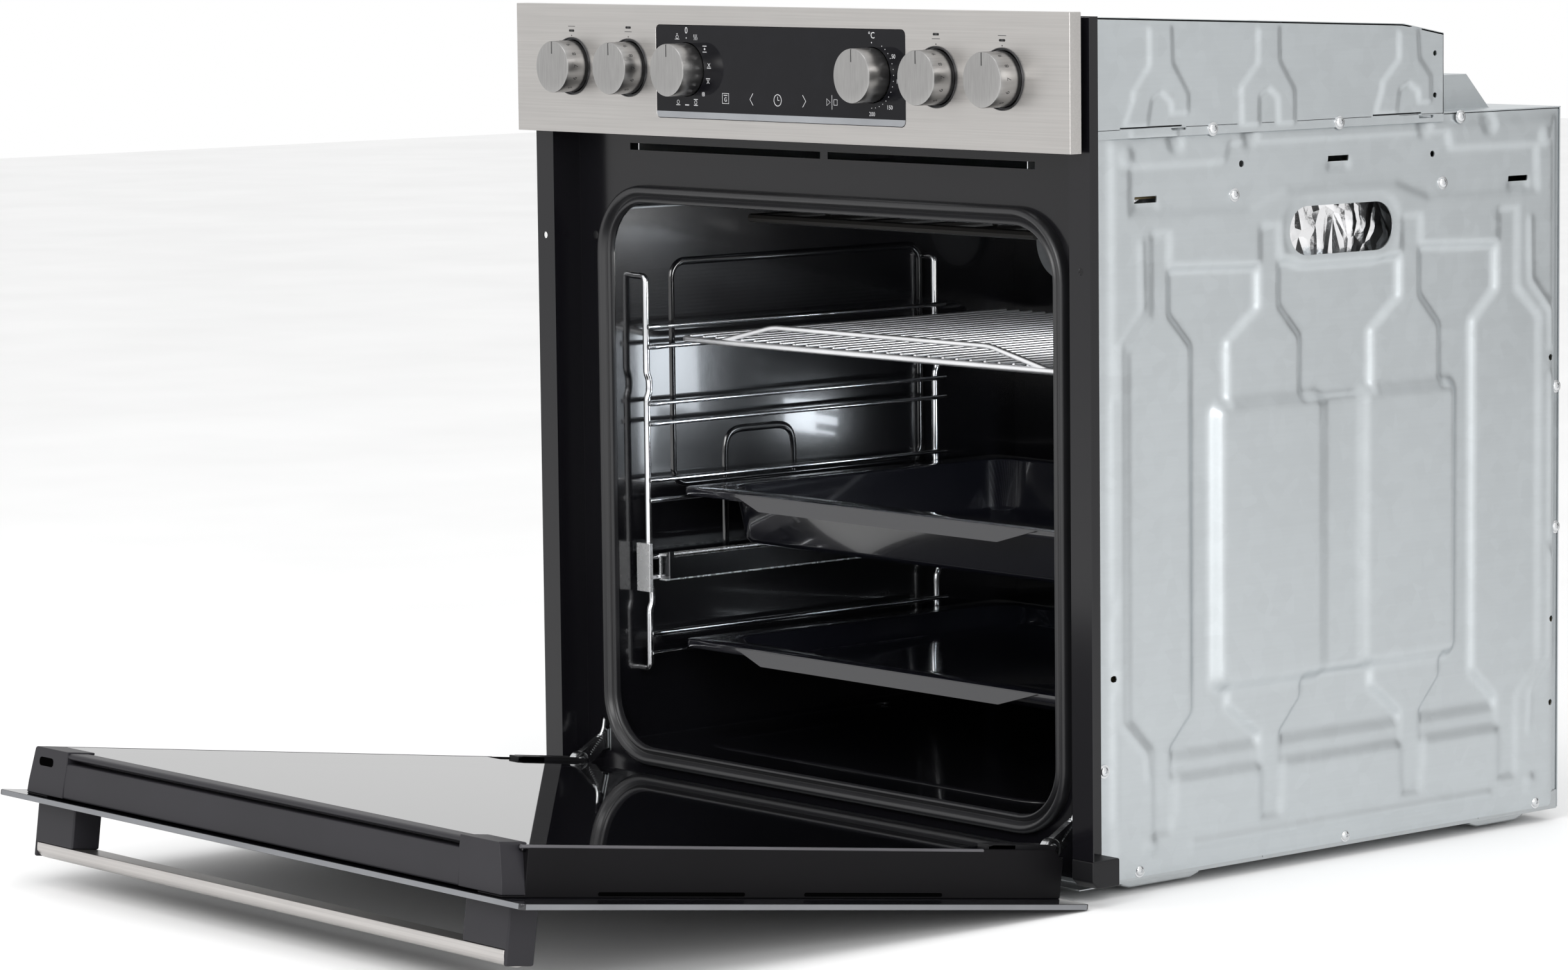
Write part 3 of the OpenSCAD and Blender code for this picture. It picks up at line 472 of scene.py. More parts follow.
class Look:
    """The oven's finishes by the part that carries them."""

    FASCIA = Brushed("Fascia steel", (0.50, 0.485, 0.47), 0.38, (9.0, 700.0, 1100.0), 0.015, 0.07)
    BAR = Brushed("Handle steel", (0.52, 0.50, 0.485), 0.34, (5.0, 900.0, 900.0), 0.02, 0.09)
    KNOB = Brushed("Knob steel", (0.36, 0.355, 0.35), 0.30, (900.0, 30.0, 60.0), 0.015, 0.10, (0.0, 0.6, 0.0))
    SPINDLE = Brushed("Turned steel", (0.55, 0.55, 0.55), 0.30, (900.0, 8.0, 900.0))
    SHEET = Galvanised("Galvanised sheet", (0.50, 0.53, 0.545), 0.40)
    BASE = Galvanised("Base zinc", (0.44, 0.46, 0.47), 0.32, 140.0, 1.0)
    SCREW = Galvanised("Screw zinc", (0.66, 0.67, 0.68), 0.22, 400.0, 1.0)
    HINGE = Galvanised("Hinge zinc", (0.55, 0.56, 0.57), 0.20, 260.0, 1.0)
    CLIP = Galvanised("Clip plating", (0.80, 0.81, 0.82), 0.26, 300.0, 0.7)
    DUCT = Galvanised("Duct zinc", (0.55, 0.57, 0.58), 0.40, 120.0, 1.0)
    CAVITY = Enamel("Cavity enamel", (0.0035, 0.0035, 0.0045), 0.15, 0.08, 0.25)
    TRAY = Enamel("Tray enamel", (0.006, 0.0063, 0.0095), 0.14, 0.05, 0.15, 0.8)
    FRAME = Enamel("Frame enamel", (0.005, 0.0048, 0.0062), 0.14, 0.02, 0.05, 0.0, 1.42)
    SEAL = Moulded("Seal rubber", (0.012, 0.012, 0.0135), 0.34, 700.0, 0.03)
    TRIM = Moulded("Door plastic", (0.017, 0.0162, 0.0195), 0.46, 1300.0, 0.03, 0.0, 0.25)
    RAIL = Moulded("Door rail paint", (0.0045, 0.0042, 0.005), 0.50, 900.0, 0.02, 0.0, 0.10)
    CARRIER = Moulded("Carrier plastic", (0.007, 0.007, 0.008), 0.48, 1400.0, 0.03, 0.0, 0.25)
    EDGE = Moulded("Ground glass edge", (0.15, 0.155, 0.165), 0.35)
    RIM = Moulded("Door rim plastic", (0.075, 0.073, 0.08), 0.34, 900.0, 0.02)
    COLLAR = Moulded("Collar ring", (0.06, 0.06, 0.063), 0.30, 900.0, 0.01, 0.8)
    INK = Moulded("Dark filling", (0.012, 0.012, 0.013), 0.5)
    PRINT = Moulded("Light printing", (0.50, 0.50, 0.51), 0.5)
    STRIP = Moulded("Window strip", (0.24, 0.25, 0.265), 0.30)
    CREAM = Moulded("Switch plastic", (0.62, 0.58, 0.48), 0.5)
    BOARD = Moulded("Circuit board", (0.02, 0.12, 0.05), 0.35)
    CERAMIC = Moulded("Lamp ceramic", (0.62, 0.58, 0.50), 0.4)
    # Dark scaled steel, made darker still so the elements read as the shade of their recesses: partly the
    # steel's own colour, partly painted shade.
    HEATER = Moulded("Scaled heater steel", (0.016, 0.015, 0.014), 0.5, 800.0, 0.04, 0.3, 0.2)
    # Black with no gloss, laid over slots and holes as their painted shade.
    HOLE = Moulded("Punched hole", (0.0012, 0.0012, 0.0012), 0.9, 800.0, 0.02, 0.0, 0.0)
    WINDOW = Glass("Display glass", (0.004, 0.004, 0.0055), 0.06, 1.0, 1.27)
    PANEL = Glass("Door panel glass", (0.008, 0.008, 0.010), 0.05, 1.0, 1.6)
    CLEAR = Glass("Inner glass", (0.004, 0.004, 0.005), 0.01, 0.93, 1.52)
    LENS = Glass("Lamp glass", (0.5, 0.52, 0.54), 0.08, 0.5, 1.5)
    CHROME = Chrome("Plated wire", (0.72, 0.73, 0.75), 0.10)
    # Paler than the rack's plated wire so the shelf reads bright: a painted highlight; the rougher gloss is the
    # wire's own.
    SHELF = Chrome("Shelf plating", (0.9, 0.905, 0.92), 0.36)
    # Plating darkened to paint the shade the runner slides sit in.
    SLIDE = Chrome("Slide plating", (0.26, 0.26, 0.27), 0.10)
    FOIL = Crinkled("Insulation foil", (0.85, 0.85, 0.86), 0.14)
    WOOL = Fibrous("Mineral wool", (0.55, 0.45, 0.26), 0.9)


# Mesh making


class Shape:
    """Vertices in millimetres and faces, gathered before they become a mesh."""

    def __init__(self) -> None:
        """Starts empty."""
        self.points: list[Point] = []
        self.faces: list[list[int]] = []

    def add(self, points: Iterable[Sequence[float]], faces: Iterable[Sequence[int]]) -> "Shape":
        """Adds a part.

        Args:
            points: its vertices.
            faces: its faces, numbered from its own first vertex.

        Returns:
            The shape.
        """
        first = len(self.points)
        self.points.extend(tuple(float(c) for c in p) for p in points)
        self.faces.extend([first + i for i in f] for f in faces)
        return self

    def block(self, low: Point, high: Point) -> "Shape":
        """Adds a box between two corners."""
        outline = [(low[0], low[1]), (high[0], low[1]), (high[0], high[1]), (low[0], high[1])]
        return self.prism(outline, 2, low[2], high[2])

    def prism(self, outline: Sequence[Flat], axis: int, start: float, end: float) -> "Shape":
        """Adds an outline drawn out along an axis.

        Args:
            outline: points on the other two axes, in the order X, Y, Z.
            axis: 0, 1 or 2.
            start: where it starts.
            end: where it ends.

        Returns:
            The shape.
        """
        return self.loft([[self._lift(p, axis, at) for p in outline] for at in (start, end)], caps=True)

    @staticmethod
    def _lift(p: Flat, axis: int, at: float) -> Point:
        """A flat point at a height along an axis."""
        rest = list(p)
        rest.insert(axis, at)
        return (rest[0], rest[1], rest[2])

    def loft(self, rings: Sequence[Sequence[Point]], caps: bool = False, closed: bool = False) -> "Shape":
        """Joins rings that have the same number of points.

        Args:
            rings: the rings in order.
            caps: whether the end rings are closed with a face.
            closed: whether the last ring joins the first.

        Returns:
            The shape.
        """
        n = len(rings[0])
        points = [p for ring in rings for p in ring]
        faces = []
        count = len(rings)
        for k in range(count if closed else count - 1):
            a, b = k * n, ((k + 1) % count) * n
            faces += [[a + i, a + (i + 1) % n, b + (i + 1) % n, b + i] for i in range(n)]
        if caps:
            faces.append(list(range(n))[::-1])
            faces.append([(count - 1) * n + i for i in range(n)])
        return self.add(points, faces)

    def tube(self, path: Sequence[Point], radius: float, sides: int = 12, closed: bool = False) -> "Shape":
        """Adds a round wire along a path.

        Args:
            path: points on the wire's centre line.
            radius: the wire's radius.
            sides: faces round the wire.
            closed: whether the path is a loop.

        Returns:
            The shape.
        """
        line = [Vector(p) for p in path]
        count = len(line)
        rings = []
        normal = None
        for i, here in enumerate(line):
            before = line[i - 1] if closed or i else here
            after = line[(i + 1) % count] if closed or i < count - 1 else here
            tangent = (after - before).normalized()
            if normal is None:
                normal = tangent.orthogonal().normalized()
            normal = (normal - tangent * normal.dot(tangent)).normalized()
            other = tangent.cross(normal)
            rings.append(
                [
                    tuple(here + radius * (math.cos(a) * normal + math.sin(a) * other))
                    for a in (2 * math.pi * k / sides for k in range(sides))
                ]
            )
        return self.loft(rings, caps=not closed, closed=closed)

    def lathe(self, profile: Sequence[Flat], centre: Point, axis: int = 1, steps: int = 64) -> "Shape":
        """Adds a turned shape. Its profile starts and ends on the axis, or is a closed loop off it.

        Args:
            profile: pairs of radius and distance along the axis.
            centre: the point the distances start from.
            axis: 0, 1 or 2.
            steps: faces round the shape.

        Returns:
            The shape.
        """
        first, second = [(1, 2), (2, 0), (0, 1)][axis]
        rings = []
        for radius, along in profile:
            ring = []
            for k in range(steps):
                a = 2 * math.pi * k / steps
                p = list(centre)
                p[axis] += along
                p[first] += max(radius, 1e-4) * math.cos(a)
                p[second] += max(radius, 1e-4) * math.sin(a)
                ring.append(tuple(p))
            rings.append(ring)
        on_axis = profile[0][0] == 0
        return self.loft(rings, caps=on_axis, closed=not on_axis)

    def mirrored(self) -> "Shape":
        """The shape with its mirror image in X added."""
        points = [(-x, y, z) for x, y, z in self.points]
        return self.add(points, [f[::-1] for f in list(self.faces)])

    def turned(self, matrix: Matrix) -> "Shape":
        """The shape moved by a matrix that works in millimetres."""
        self.points = [tuple(matrix @ Vector(p)) for p in self.points]
        return self

    def mesh(self, name: str) -> bpy.types.Mesh:
        """The shape as a mesh in metres, faces outwards."""
        made = bpy.data.meshes.new(name)
        made.from_pydata([tuple(c * MM for c in p) for p in self.points], [], self.faces)
        work = bmesh.new()
        work.from_mesh(made)
        bmesh.ops.remove_doubles(work, verts=work.verts, dist=1e-6)
        bmesh.ops.recalc_face_normals(work, faces=work.faces)
        work.to_mesh(made)
        work.free()
        return made


def corners(low: Flat, high: Flat, radius: float, steps: int = 6) -> list[Flat]:
    """Outline of a rectangle with round corners.

    Args:
        low: its lower corner.
        high: its upper corner.
        radius: the corners' radius.
        steps: segments in a corner.

    Returns:
        The outline, anticlockwise.
    """
    made = []
    for cx, cy, start in (
        (high[0] - radius, low[1] + radius, -90), (high[0] - radius, high[1] - radius, 0),
        (low[0] + radius, high[1] - radius, 90), (low[0] + radius, low[1] + radius, 180),
    ):
        for i in range(steps + 1):
            a = math.radians(start + 90 * i / steps)
            made.append((cx + radius * math.cos(a), cy + radius * math.sin(a)))
    return made


def rounded(path: Sequence[Point], radius: float, steps: int = 5, closed: bool = False) -> list[Point]:
    """A path with its corners rounded.

    Args:
        path: its corner points.
        radius: how far from a corner the bend starts.
        steps: segments in a bend.
        closed: whether the path is a loop.

    Returns:
        The path's points.
    """
    made = []
    count = len(path)
    for i, raw in enumerate(path):
        here = Vector(raw)
        if not closed and i in (0, count - 1):
            made.append(tuple(here))
            continue
        before, after = Vector(path[i - 1]), Vector(path[(i + 1) % count])
        back = min(radius, (before - here).length * 0.49)
        ahead = min(radius, (after - here).length * 0.49)
        start = here + (before - here).normalized() * back
        end = here + (after - here).normalized() * ahead
        for k in range(steps + 1):
            t = k / steps
            made.append(tuple(start * (1 - t) ** 2 + here * 2 * t * (1 - t) + end * t * t))
    return made


def soften(obj: bpy.types.Object, bevel: float, angle: float) -> None:
    """Bevels an object's edges, weights its normals and applies both.

    Args:
        obj: the object.
        bevel: width of the bevel in millimetres, 0 for none.
        angle: edges sharper than this many degrees are bevelled and stay crisp.
    """
    obj.data.shade_smooth()
    if bevel > 0:
        edge = obj.modifiers.new("Edge", "BEVEL")
        edge.width = bevel * MM
        edge.segments = 2
        edge.limit_method = "ANGLE"
        edge.angle_limit = math.radians(angle)
        edge.harden_normals = False
        even = obj.modifiers.new("Even", "WEIGHTED_NORMAL")
        even.keep_sharp = True
        bake(obj)
    else:
        obj.data.set_sharp_from_angle(angle=math.radians(angle))


def bake(obj: bpy.types.Object) -> None:
    """Turns an object's modifiers into plain mesh."""
    graph = bpy.context.evaluated_depsgraph_get()
    made = bpy.data.meshes.new_from_object(obj.evaluated_get(graph))
    obj.modifiers.clear()
    obj.data = made


def piece(
    name: str, shape: "Shape | bpy.types.Mesh", finish: Finish, body: str, stands_for: Sequence[str] = (),
    bevel: float = 0.0, angle: float = 35.0,
) -> bpy.types.Object:
    """Makes a finished piece and lets it ride on its body.

    Args:
        name: the piece's name.
        shape: its shape, or a mesh in metres.
        finish: its finish.
        body: the body it rides on.
        stands_for: CAD nodes that it replaces.
        bevel: width of its edges' bevel in millimetres.
        angle: edges sharper than this many degrees stay crisp.

    Returns:
        The piece.
    """
    mesh = shape.mesh(name) if isinstance(shape, Shape) else shape
    obj = bpy.data.objects.new(name, mesh)
    bpy.context.scene.collection.objects.link(obj)
    soften(obj, bevel, angle)
    obj.data.materials.clear()
    obj.data.materials.append(finish.material())
    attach(obj, body.value if isinstance(body, Body) else body)
    if stands_for:
        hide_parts(*stands_for)
    LOG.info("%s: %d faces, on %s", name, len(obj.data.polygons), body)
    return obj


def node_copy(node: str) -> bpy.types.Mesh:
    """A CAD node's mesh, merged and with its flat faces whole."""
    mesh = frame["nodes"][node].data.copy()
    work = bmesh.new()
    work.from_mesh(mesh)
    bmesh.ops.remove_doubles(work, verts=work.verts, dist=2e-6)
    bmesh.ops.dissolve_limit(work, angle_limit=math.radians(0.5), verts=work.verts, edges=work.edges)
    work.to_mesh(mesh)
    work.free()
    return mesh


def refined(
    node: str, finish: Finish, bevel: float = 0.4, angle: float = 35.0
) -> bpy.types.Object:
    """A CAD node's shape with bevelled edges, which then stands for it.

    Args:
        node: the CAD node.
        finish: the finish.
        bevel: width of the bevel in millimetres.
        angle: edges sharper than this many degrees are bevelled.

    Returns:
        The piece.
    """
    body = frame["nodes"][node]["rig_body"]
    return piece(node + ".fine", node_copy(node), finish, body, [node], bevel, angle)


def dress(node: str, finish: Finish) -> None:
    """Gives a CAD node that stays as it is its finish."""
    mesh = frame["nodes"][node].data
    mesh.materials.clear()
    mesh.materials.append(finish.material())
    LOG.info("%s keeps its shape, in %s", node, finish.name)


def box_mm(node: str) -> tuple[Vector, Vector]:
    """A CAD node's lowest and highest corners in millimetres."""
    low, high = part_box(node)
    return low / MM, high / MM


# Geometry nodes


class Growth:
    """Builds a geometry node tree with named sizes and turns its result into a plain mesh."""

    def __init__(self, name: str) -> None:
        """Starts a tree.

        Args:
            name: the tree's name.
        """
        self.tree = bpy.data.node_groups.new(name, "GeometryNodeTree")
        self.tree.interface.new_socket("Geometry", in_out="OUTPUT", socket_type="NodeSocketGeometry")
        self.inputs = self.tree.nodes.new("NodeGroupInput")
        self.outputs = self.tree.nodes.new("NodeGroupOutput")
        self.names: dict[str, str] = {}

    def size(self, name: str, kind: str, default: object) -> bpy.types.NodeSocket:
        """Adds a named input.

        Args:
            name: the input's name.
            kind: Float, Int, Vector or Object.
            default: its value, or None for an object.

        Returns:
            The input's socket inside the tree.
        """
        made = self.tree.interface.new_socket(name, in_out="INPUT", socket_type="NodeSocket" + kind)
        if default is not None:
            made.default_value = default
        self.names[name] = made.identifier
        return self.inputs.outputs[name]

    def node(self, kind: str, settings: dict[str, object] | None = None, **values: object) -> bpy.types.Node:
        """Adds a node. Underscores in the names of its values stand for spaces."""
        made = self.tree.nodes.new(kind)
        for key, value in (settings or {}).items():
            setattr(made, key, value)
        for key, value in values.items():
            socket = made.inputs[key.replace("_", " ")]
            if isinstance(value, bpy.types.NodeSocket):
                self.tree.links.new(value, socket)
            else:
                socket.default_value = value
        return made

    def close(self, instances: bpy.types.NodeSocket, finish: Finish) -> None:
        """Ends the tree with Realize Instances and Set Material."""
        real = self.node("GeometryNodeRealizeInstances", Geometry=instances)
        inked = self.node("GeometryNodeSetMaterial", Geometry=real.outputs[0], Material=finish.material())
        self.tree.links.new(inked.outputs[0], self.outputs.inputs[0])

class Scatter(Growth):
    """Copies of one finished mesh at given points."""

    def __init__(self, name: str, finish: Finish) -> None:
        """Builds the tree: the pattern object on each point of the seed mesh."""
        super().__init__(name)
        self.tree.interface.new_socket("Points", in_out="INPUT", socket_type="NodeSocketGeometry")
        pattern = self.size("Pattern", "Object", None)
        turn = self.size("Turn", "Vector", (0.0, 0.0, 0.0))
        shown = self.node("GeometryNodeObjectInfo", Object=pattern)
        spread = self.node(
            "GeometryNodeInstanceOnPoints", Points=self.inputs.outputs["Points"],
            Instance=shown.outputs["Geometry"],
            Rotation=turn,
        )
        self.close(spread.outputs[0], finish)

    def over(
        self, name: str, pattern: Shape, points: Sequence[Point], turn: Point = (0.0, 0.0, 0.0)
    ) -> bpy.types.Mesh:
        """Copies a pattern to points.

        Args:
            name: the result's name.
            pattern: the repeated shape, round the origin.
            points: where the copies go, in millimetres.
            turn: rotation of every copy.

        Returns:
            All copies as one plain mesh.
        """
        master = bpy.data.objects.new(name + ".pattern", pattern.mesh(name + ".pattern"))
        seed_mesh = bpy.data.meshes.new(name)
        seed_mesh.from_pydata([tuple(c * MM for c in p) for p in points], [], [])
        seed = bpy.data.objects.new(name, seed_mesh)
        for obj in (master, seed):
            bpy.context.scene.collection.objects.link(obj)
        modifier = seed.modifiers.new("Growth", "NODES")
        modifier.node_group = self.tree
        modifier[self.names["Pattern"]] = master
        modifier[self.names["Turn"]] = turn
        bake(seed)
        mesh = seed.data
        bpy.data.objects.remove(seed)
        bpy.data.objects.remove(master)
        return mesh


class Artwork:
    """Thin raised drawing of strokes, discs and figures, laid on a surface."""

    def __init__(self, lay: Callable[[float, float, float], Point], thick: float = 0.05) -> None:
        """Starts a drawing.

        Args:
            lay: takes a place across, up and out of the surface and gives the point in space.
            thick: how far the drawing stands out.
        """
        self.lay = lay
        self.thick = thick
        self.shape = Shape()

    def stroke(self, path: Sequence[Flat], width: float, closed: bool = False) -> "Artwork":
        """Draws a line of even width."""
        line = [Vector(p) for p in path]
        count = len(line)
        rings = []
        for i, here in enumerate(line):
            before = line[i - 1] if closed or i else here
            after = line[(i + 1) % count] if closed or i < count - 1 else here
            along = (after - before).normalized()
            side = Vector((-along.y, along.x)) * width / 2
            a, b = here - side, here + side
            rings.append(
                [self.lay(a.x, a.y, 0), self.lay(b.x, b.y, 0), self.lay(b.x, b.y, self.thick),
                 self.lay(a.x, a.y, self.thick)]
            )
        self.shape.loft(rings, caps=not closed, closed=closed)
        return self

    def ring(self, centre: Flat, radius: float, width: float, start: float = 0,
             sweep: float = 360) -> "Artwork":
        """Draws a circle or an arc, in degrees."""
        whole = sweep >= 360
        count = 20
        path = [
            (centre[0] + radius * math.cos(math.radians(start + sweep * i / count)),
             centre[1] + radius * math.sin(math.radians(start + sweep * i / count)))
            for i in range(count if whole else count + 1)
        ]
        return self.stroke(path, width, whole)

    def disc(self, centre: Flat, radius: float, squash: float = 1.0) -> "Artwork":
        """Draws a filled disc or ellipse."""
        path = [
            (centre[0] + radius * math.cos(a), centre[1] + radius * squash * math.sin(a))
            for a in (2 * math.pi * i / 16 for i in range(16))
        ]
        self.shape.loft([[self.lay(u, v, w) for u, v in path] for w in (0, self.thick)], caps=True)
        return self

    def figures(self, text: str, centre: Flat, height: float, turn: float = 0.0) -> "Artwork":
        """Draws dial figures.

        Args:
            text: the figures.
            centre: their middle.
            height: their height.
            turn: how far they are turned, in degrees.

        Returns:
            The drawing.
        """
        curve = bpy.data.curves.new("Figures", "FONT")
        curve.body = text
        curve.size = height / 0.7
        curve.align_x, curve.align_y = "CENTER", "CENTER"
        curve.resolution_u = 3
        curve.extrude = self.thick / 2
        holder = bpy.data.objects.new("Figures", curve)
        bpy.context.scene.collection.objects.link(holder)
        graph = bpy.context.evaluated_depsgraph_get()
        mesh = bpy.data.meshes.new_from_object(holder.evaluated_get(graph))
        c, s = math.cos(math.radians(turn)), math.sin(math.radians(turn))
        points = [
            self.lay(centre[0] + p.co.x * c - p.co.y * s, centre[1] + p.co.x * s + p.co.y * c,
                     p.co.z + self.thick / 2)
            for p in mesh.vertices
        ]
        self.shape.add(points, [list(f.vertices) for f in mesh.polygons])
        bpy.data.objects.remove(holder)
        return self


# Pressed sheet


@dataclass
class Press:
    """One pressed area of a sheet: its outline, the level it reaches and the width of its slope."""

    outline: Sequence[Flat]
    level: float
    slope: float = 5.0
    added: bool = False


def inside_of(points: np.ndarray, outline: Sequence[Flat]) -> np.ndarray:
    """Distance of points from a closed outline, negative inside it."""
    corners_ = np.array(outline, float)
    best = np.full(len(points), 1e9)
    odd = np.zeros(len(points), bool)
    for a, b in zip(corners_, np.roll(corners_, -1, axis=0)):
        edge = b - a
        rel = points - a
        t = np.clip((rel @ edge) / max(edge @ edge, 1e-9), 0, 1)
        gap = rel - t[:, None] * edge
        best = np.minimum(best, np.einsum("ij,ij->i", gap, gap))
        cross = (a[1] > points[:, 1]) != (b[1] > points[:, 1])
        rise = np.where(abs(b[1] - a[1]) < 1e-9, 1e-9, b[1] - a[1])
        odd ^= cross & (points[:, 0] < a[0] + (points[:, 1] - a[1]) / rise * (b[0] - a[0]))
    return np.where(odd, -1, 1) * np.sqrt(best)


@dataclass
class PressedSheet:
    """Sheet metal with pressed levels and punched holes, made on a fine grid."""

    low: Flat
    high: Flat
    place: Callable[[np.ndarray, np.ndarray, np.ndarray], tuple[np.ndarray, np.ndarray, np.ndarray]]
    level: float = 0.0
    step: float = 1.7
    blur: int = 2
    presses: list[Press] = field(default_factory=list)
    holes: list[Sequence[Flat]] = field(default_factory=list)
    outline: Sequence[Flat] | None = None

    def height(self, spots: np.ndarray, shape: tuple[int, int]) -> np.ndarray:
        """The sheet's level at the grid's spots, slopes rounded."""
        level = np.full(len(spots), self.level)
        for press in self.presses:
            share = np.clip(0.5 - inside_of(spots, press.outline) / press.slope, 0, 1)
            share = share * share * (3 - 2 * share)
            level = level + share * press.level if press.added else level + share * (press.level - level)
        grid = level.reshape(shape)
        for _ in range(self.blur):
            for axis in (0, 1):
                pad = np.pad(grid, [(1, 1) if a == axis else (0, 0) for a in (0, 1)], mode="edge")
                grid = (
                    np.take(pad, range(0, shape[axis]), axis)
                    + 2 * grid
                    + np.take(pad, range(2, shape[axis] + 2), axis)
                ) / 4
        return grid.ravel()

    def clear(self, spots: np.ndarray) -> np.ndarray:
        """Distance into the metal, negative in a hole or past the outline."""
        keep = np.full(len(spots), 1e9)
        if self.outline is not None:
            keep = np.minimum(keep, -inside_of(spots, self.outline))
        for hole in self.holes:
            keep = np.minimum(keep, inside_of(spots, hole))
        return keep

    def mesh(self, name: str, thick: float = 1.0, flip: bool = False) -> bpy.types.Mesh:
        """Builds the sheet's outer surface and the edges of its sheet thickness.

        Args:
            name: the mesh's name.
            thick: the sheet's thickness.
            flip: whether the faces turn the other way.

        Returns:
            The mesh in metres.
        """
        across = np.linspace(self.low[0], self.high[0], int((self.high[0] - self.low[0]) / self.step) + 1)
        up = np.linspace(self.low[1], self.high[1], int((self.high[1] - self.low[1]) / self.step) + 1)
        grid_u, grid_v = np.meshgrid(across, up, indexing="ij")
        spots = np.stack([grid_u.ravel(), grid_v.ravel()], 1)
        nu, nv = len(across), len(up)
        level = self.height(spots, (nu, nv))
        cell = (np.arange((nu - 1))[:, None] * nv + np.arange(nv - 1)[None, :]).ravel()
        quads = np.stack([cell, cell + nv, cell + nv + 1, cell + 1], 1)
        if self.holes or self.outline is not None:
            keep = self.clear(spots)
            quads = quads[self.clear(spots[quads].mean(1)) > 0]
            used = np.bincount(quads.ravel(), minlength=len(spots))
            inner = (grid_u.ravel() > self.low[0]) & (grid_u.ravel() < self.high[0])
            inner &= (grid_v.ravel() > self.low[1]) & (grid_v.ravel() < self.high[1])
            edge = np.flatnonzero((used > 0) & ((keep < 0) | ((used < 4) & inner & (keep < self.step))))
            nudges = (np.array([0.05, 0]), np.array([0, 0.05]))
            for _ in range(2):
                here = self.clear(spots[edge])
                slope = np.stack([(self.clear(spots[edge] + d) - here) / 0.05 for d in nudges], 1)
                spots[edge] -= slope * here[:, None] / np.maximum((slope**2).sum(1), 0.25)[:, None]
        if flip:
            quads = quads[:, ::-1]
        x, y, z = self.place(spots[:, 0], spots[:, 1], level)
        made = bpy.data.meshes.new(name)
        made.from_pydata((np.stack([x, y, z], 1) * MM).tolist(), [], quads.tolist())
        work = bmesh.new()
        work.from_mesh(made)
        bmesh.ops.delete(work, geom=[v for v in work.verts if not v.link_faces], context="VERTS")
        work.normal_update()
        rim = [e for e in work.edges if e.is_boundary]
        ring = bmesh.ops.extrude_edge_only(work, edges=rim)
        moved = [g for g in ring["geom"] if isinstance(g, bmesh.types.BMVert)]
        inward = Vector([float(c) for c in self.inward()]) * thick * MM
        bmesh.ops.translate(work, verts=moved, vec=inward)
        work.to_mesh(made)
        work.free()
        return made

    def inward(self) -> tuple[float, float, float]:
        """Direction into the sheet's back."""
        origin = self.place(np.zeros(1), np.zeros(1), np.zeros(1))
        raised = self.place(np.zeros(1), np.zeros(1), np.ones(1))
        return tuple(float(a[0] - b[0]) for a, b in zip(origin, raised))


def oval(low: Flat, high: Flat) -> list[Flat]:
    """Outline of a slot with fully round ends."""
    return corners(low, high, min(high[0] - low[0], high[1] - low[1]) / 2 - 0.01, 8)


def disc(centre: Flat, radius: float, count: int = 14) -> list[Flat]:
    """Outline of a circle."""
    angles = [2 * math.pi * i / count for i in range(count)]
    return [(centre[0] + radius * math.cos(a), centre[1] + radius * math.sin(a)) for a in angles]


def ribbon(path: Sequence[Flat], width: float) -> list[Flat]:
    """Outline of a band of even width along a path."""
    line = [Vector(p) for p in path]
    left, right = [], []
    for i, here in enumerate(line):
        along = (line[min(i + 1, len(line) - 1)] - line[max(i - 1, 0)]).normalized()
        side = Vector((-along.y, along.x)) * width / 2
        left.append(tuple(here + side))
        right.append(tuple(here - side))
    return left + right[::-1]


# The oven's parts


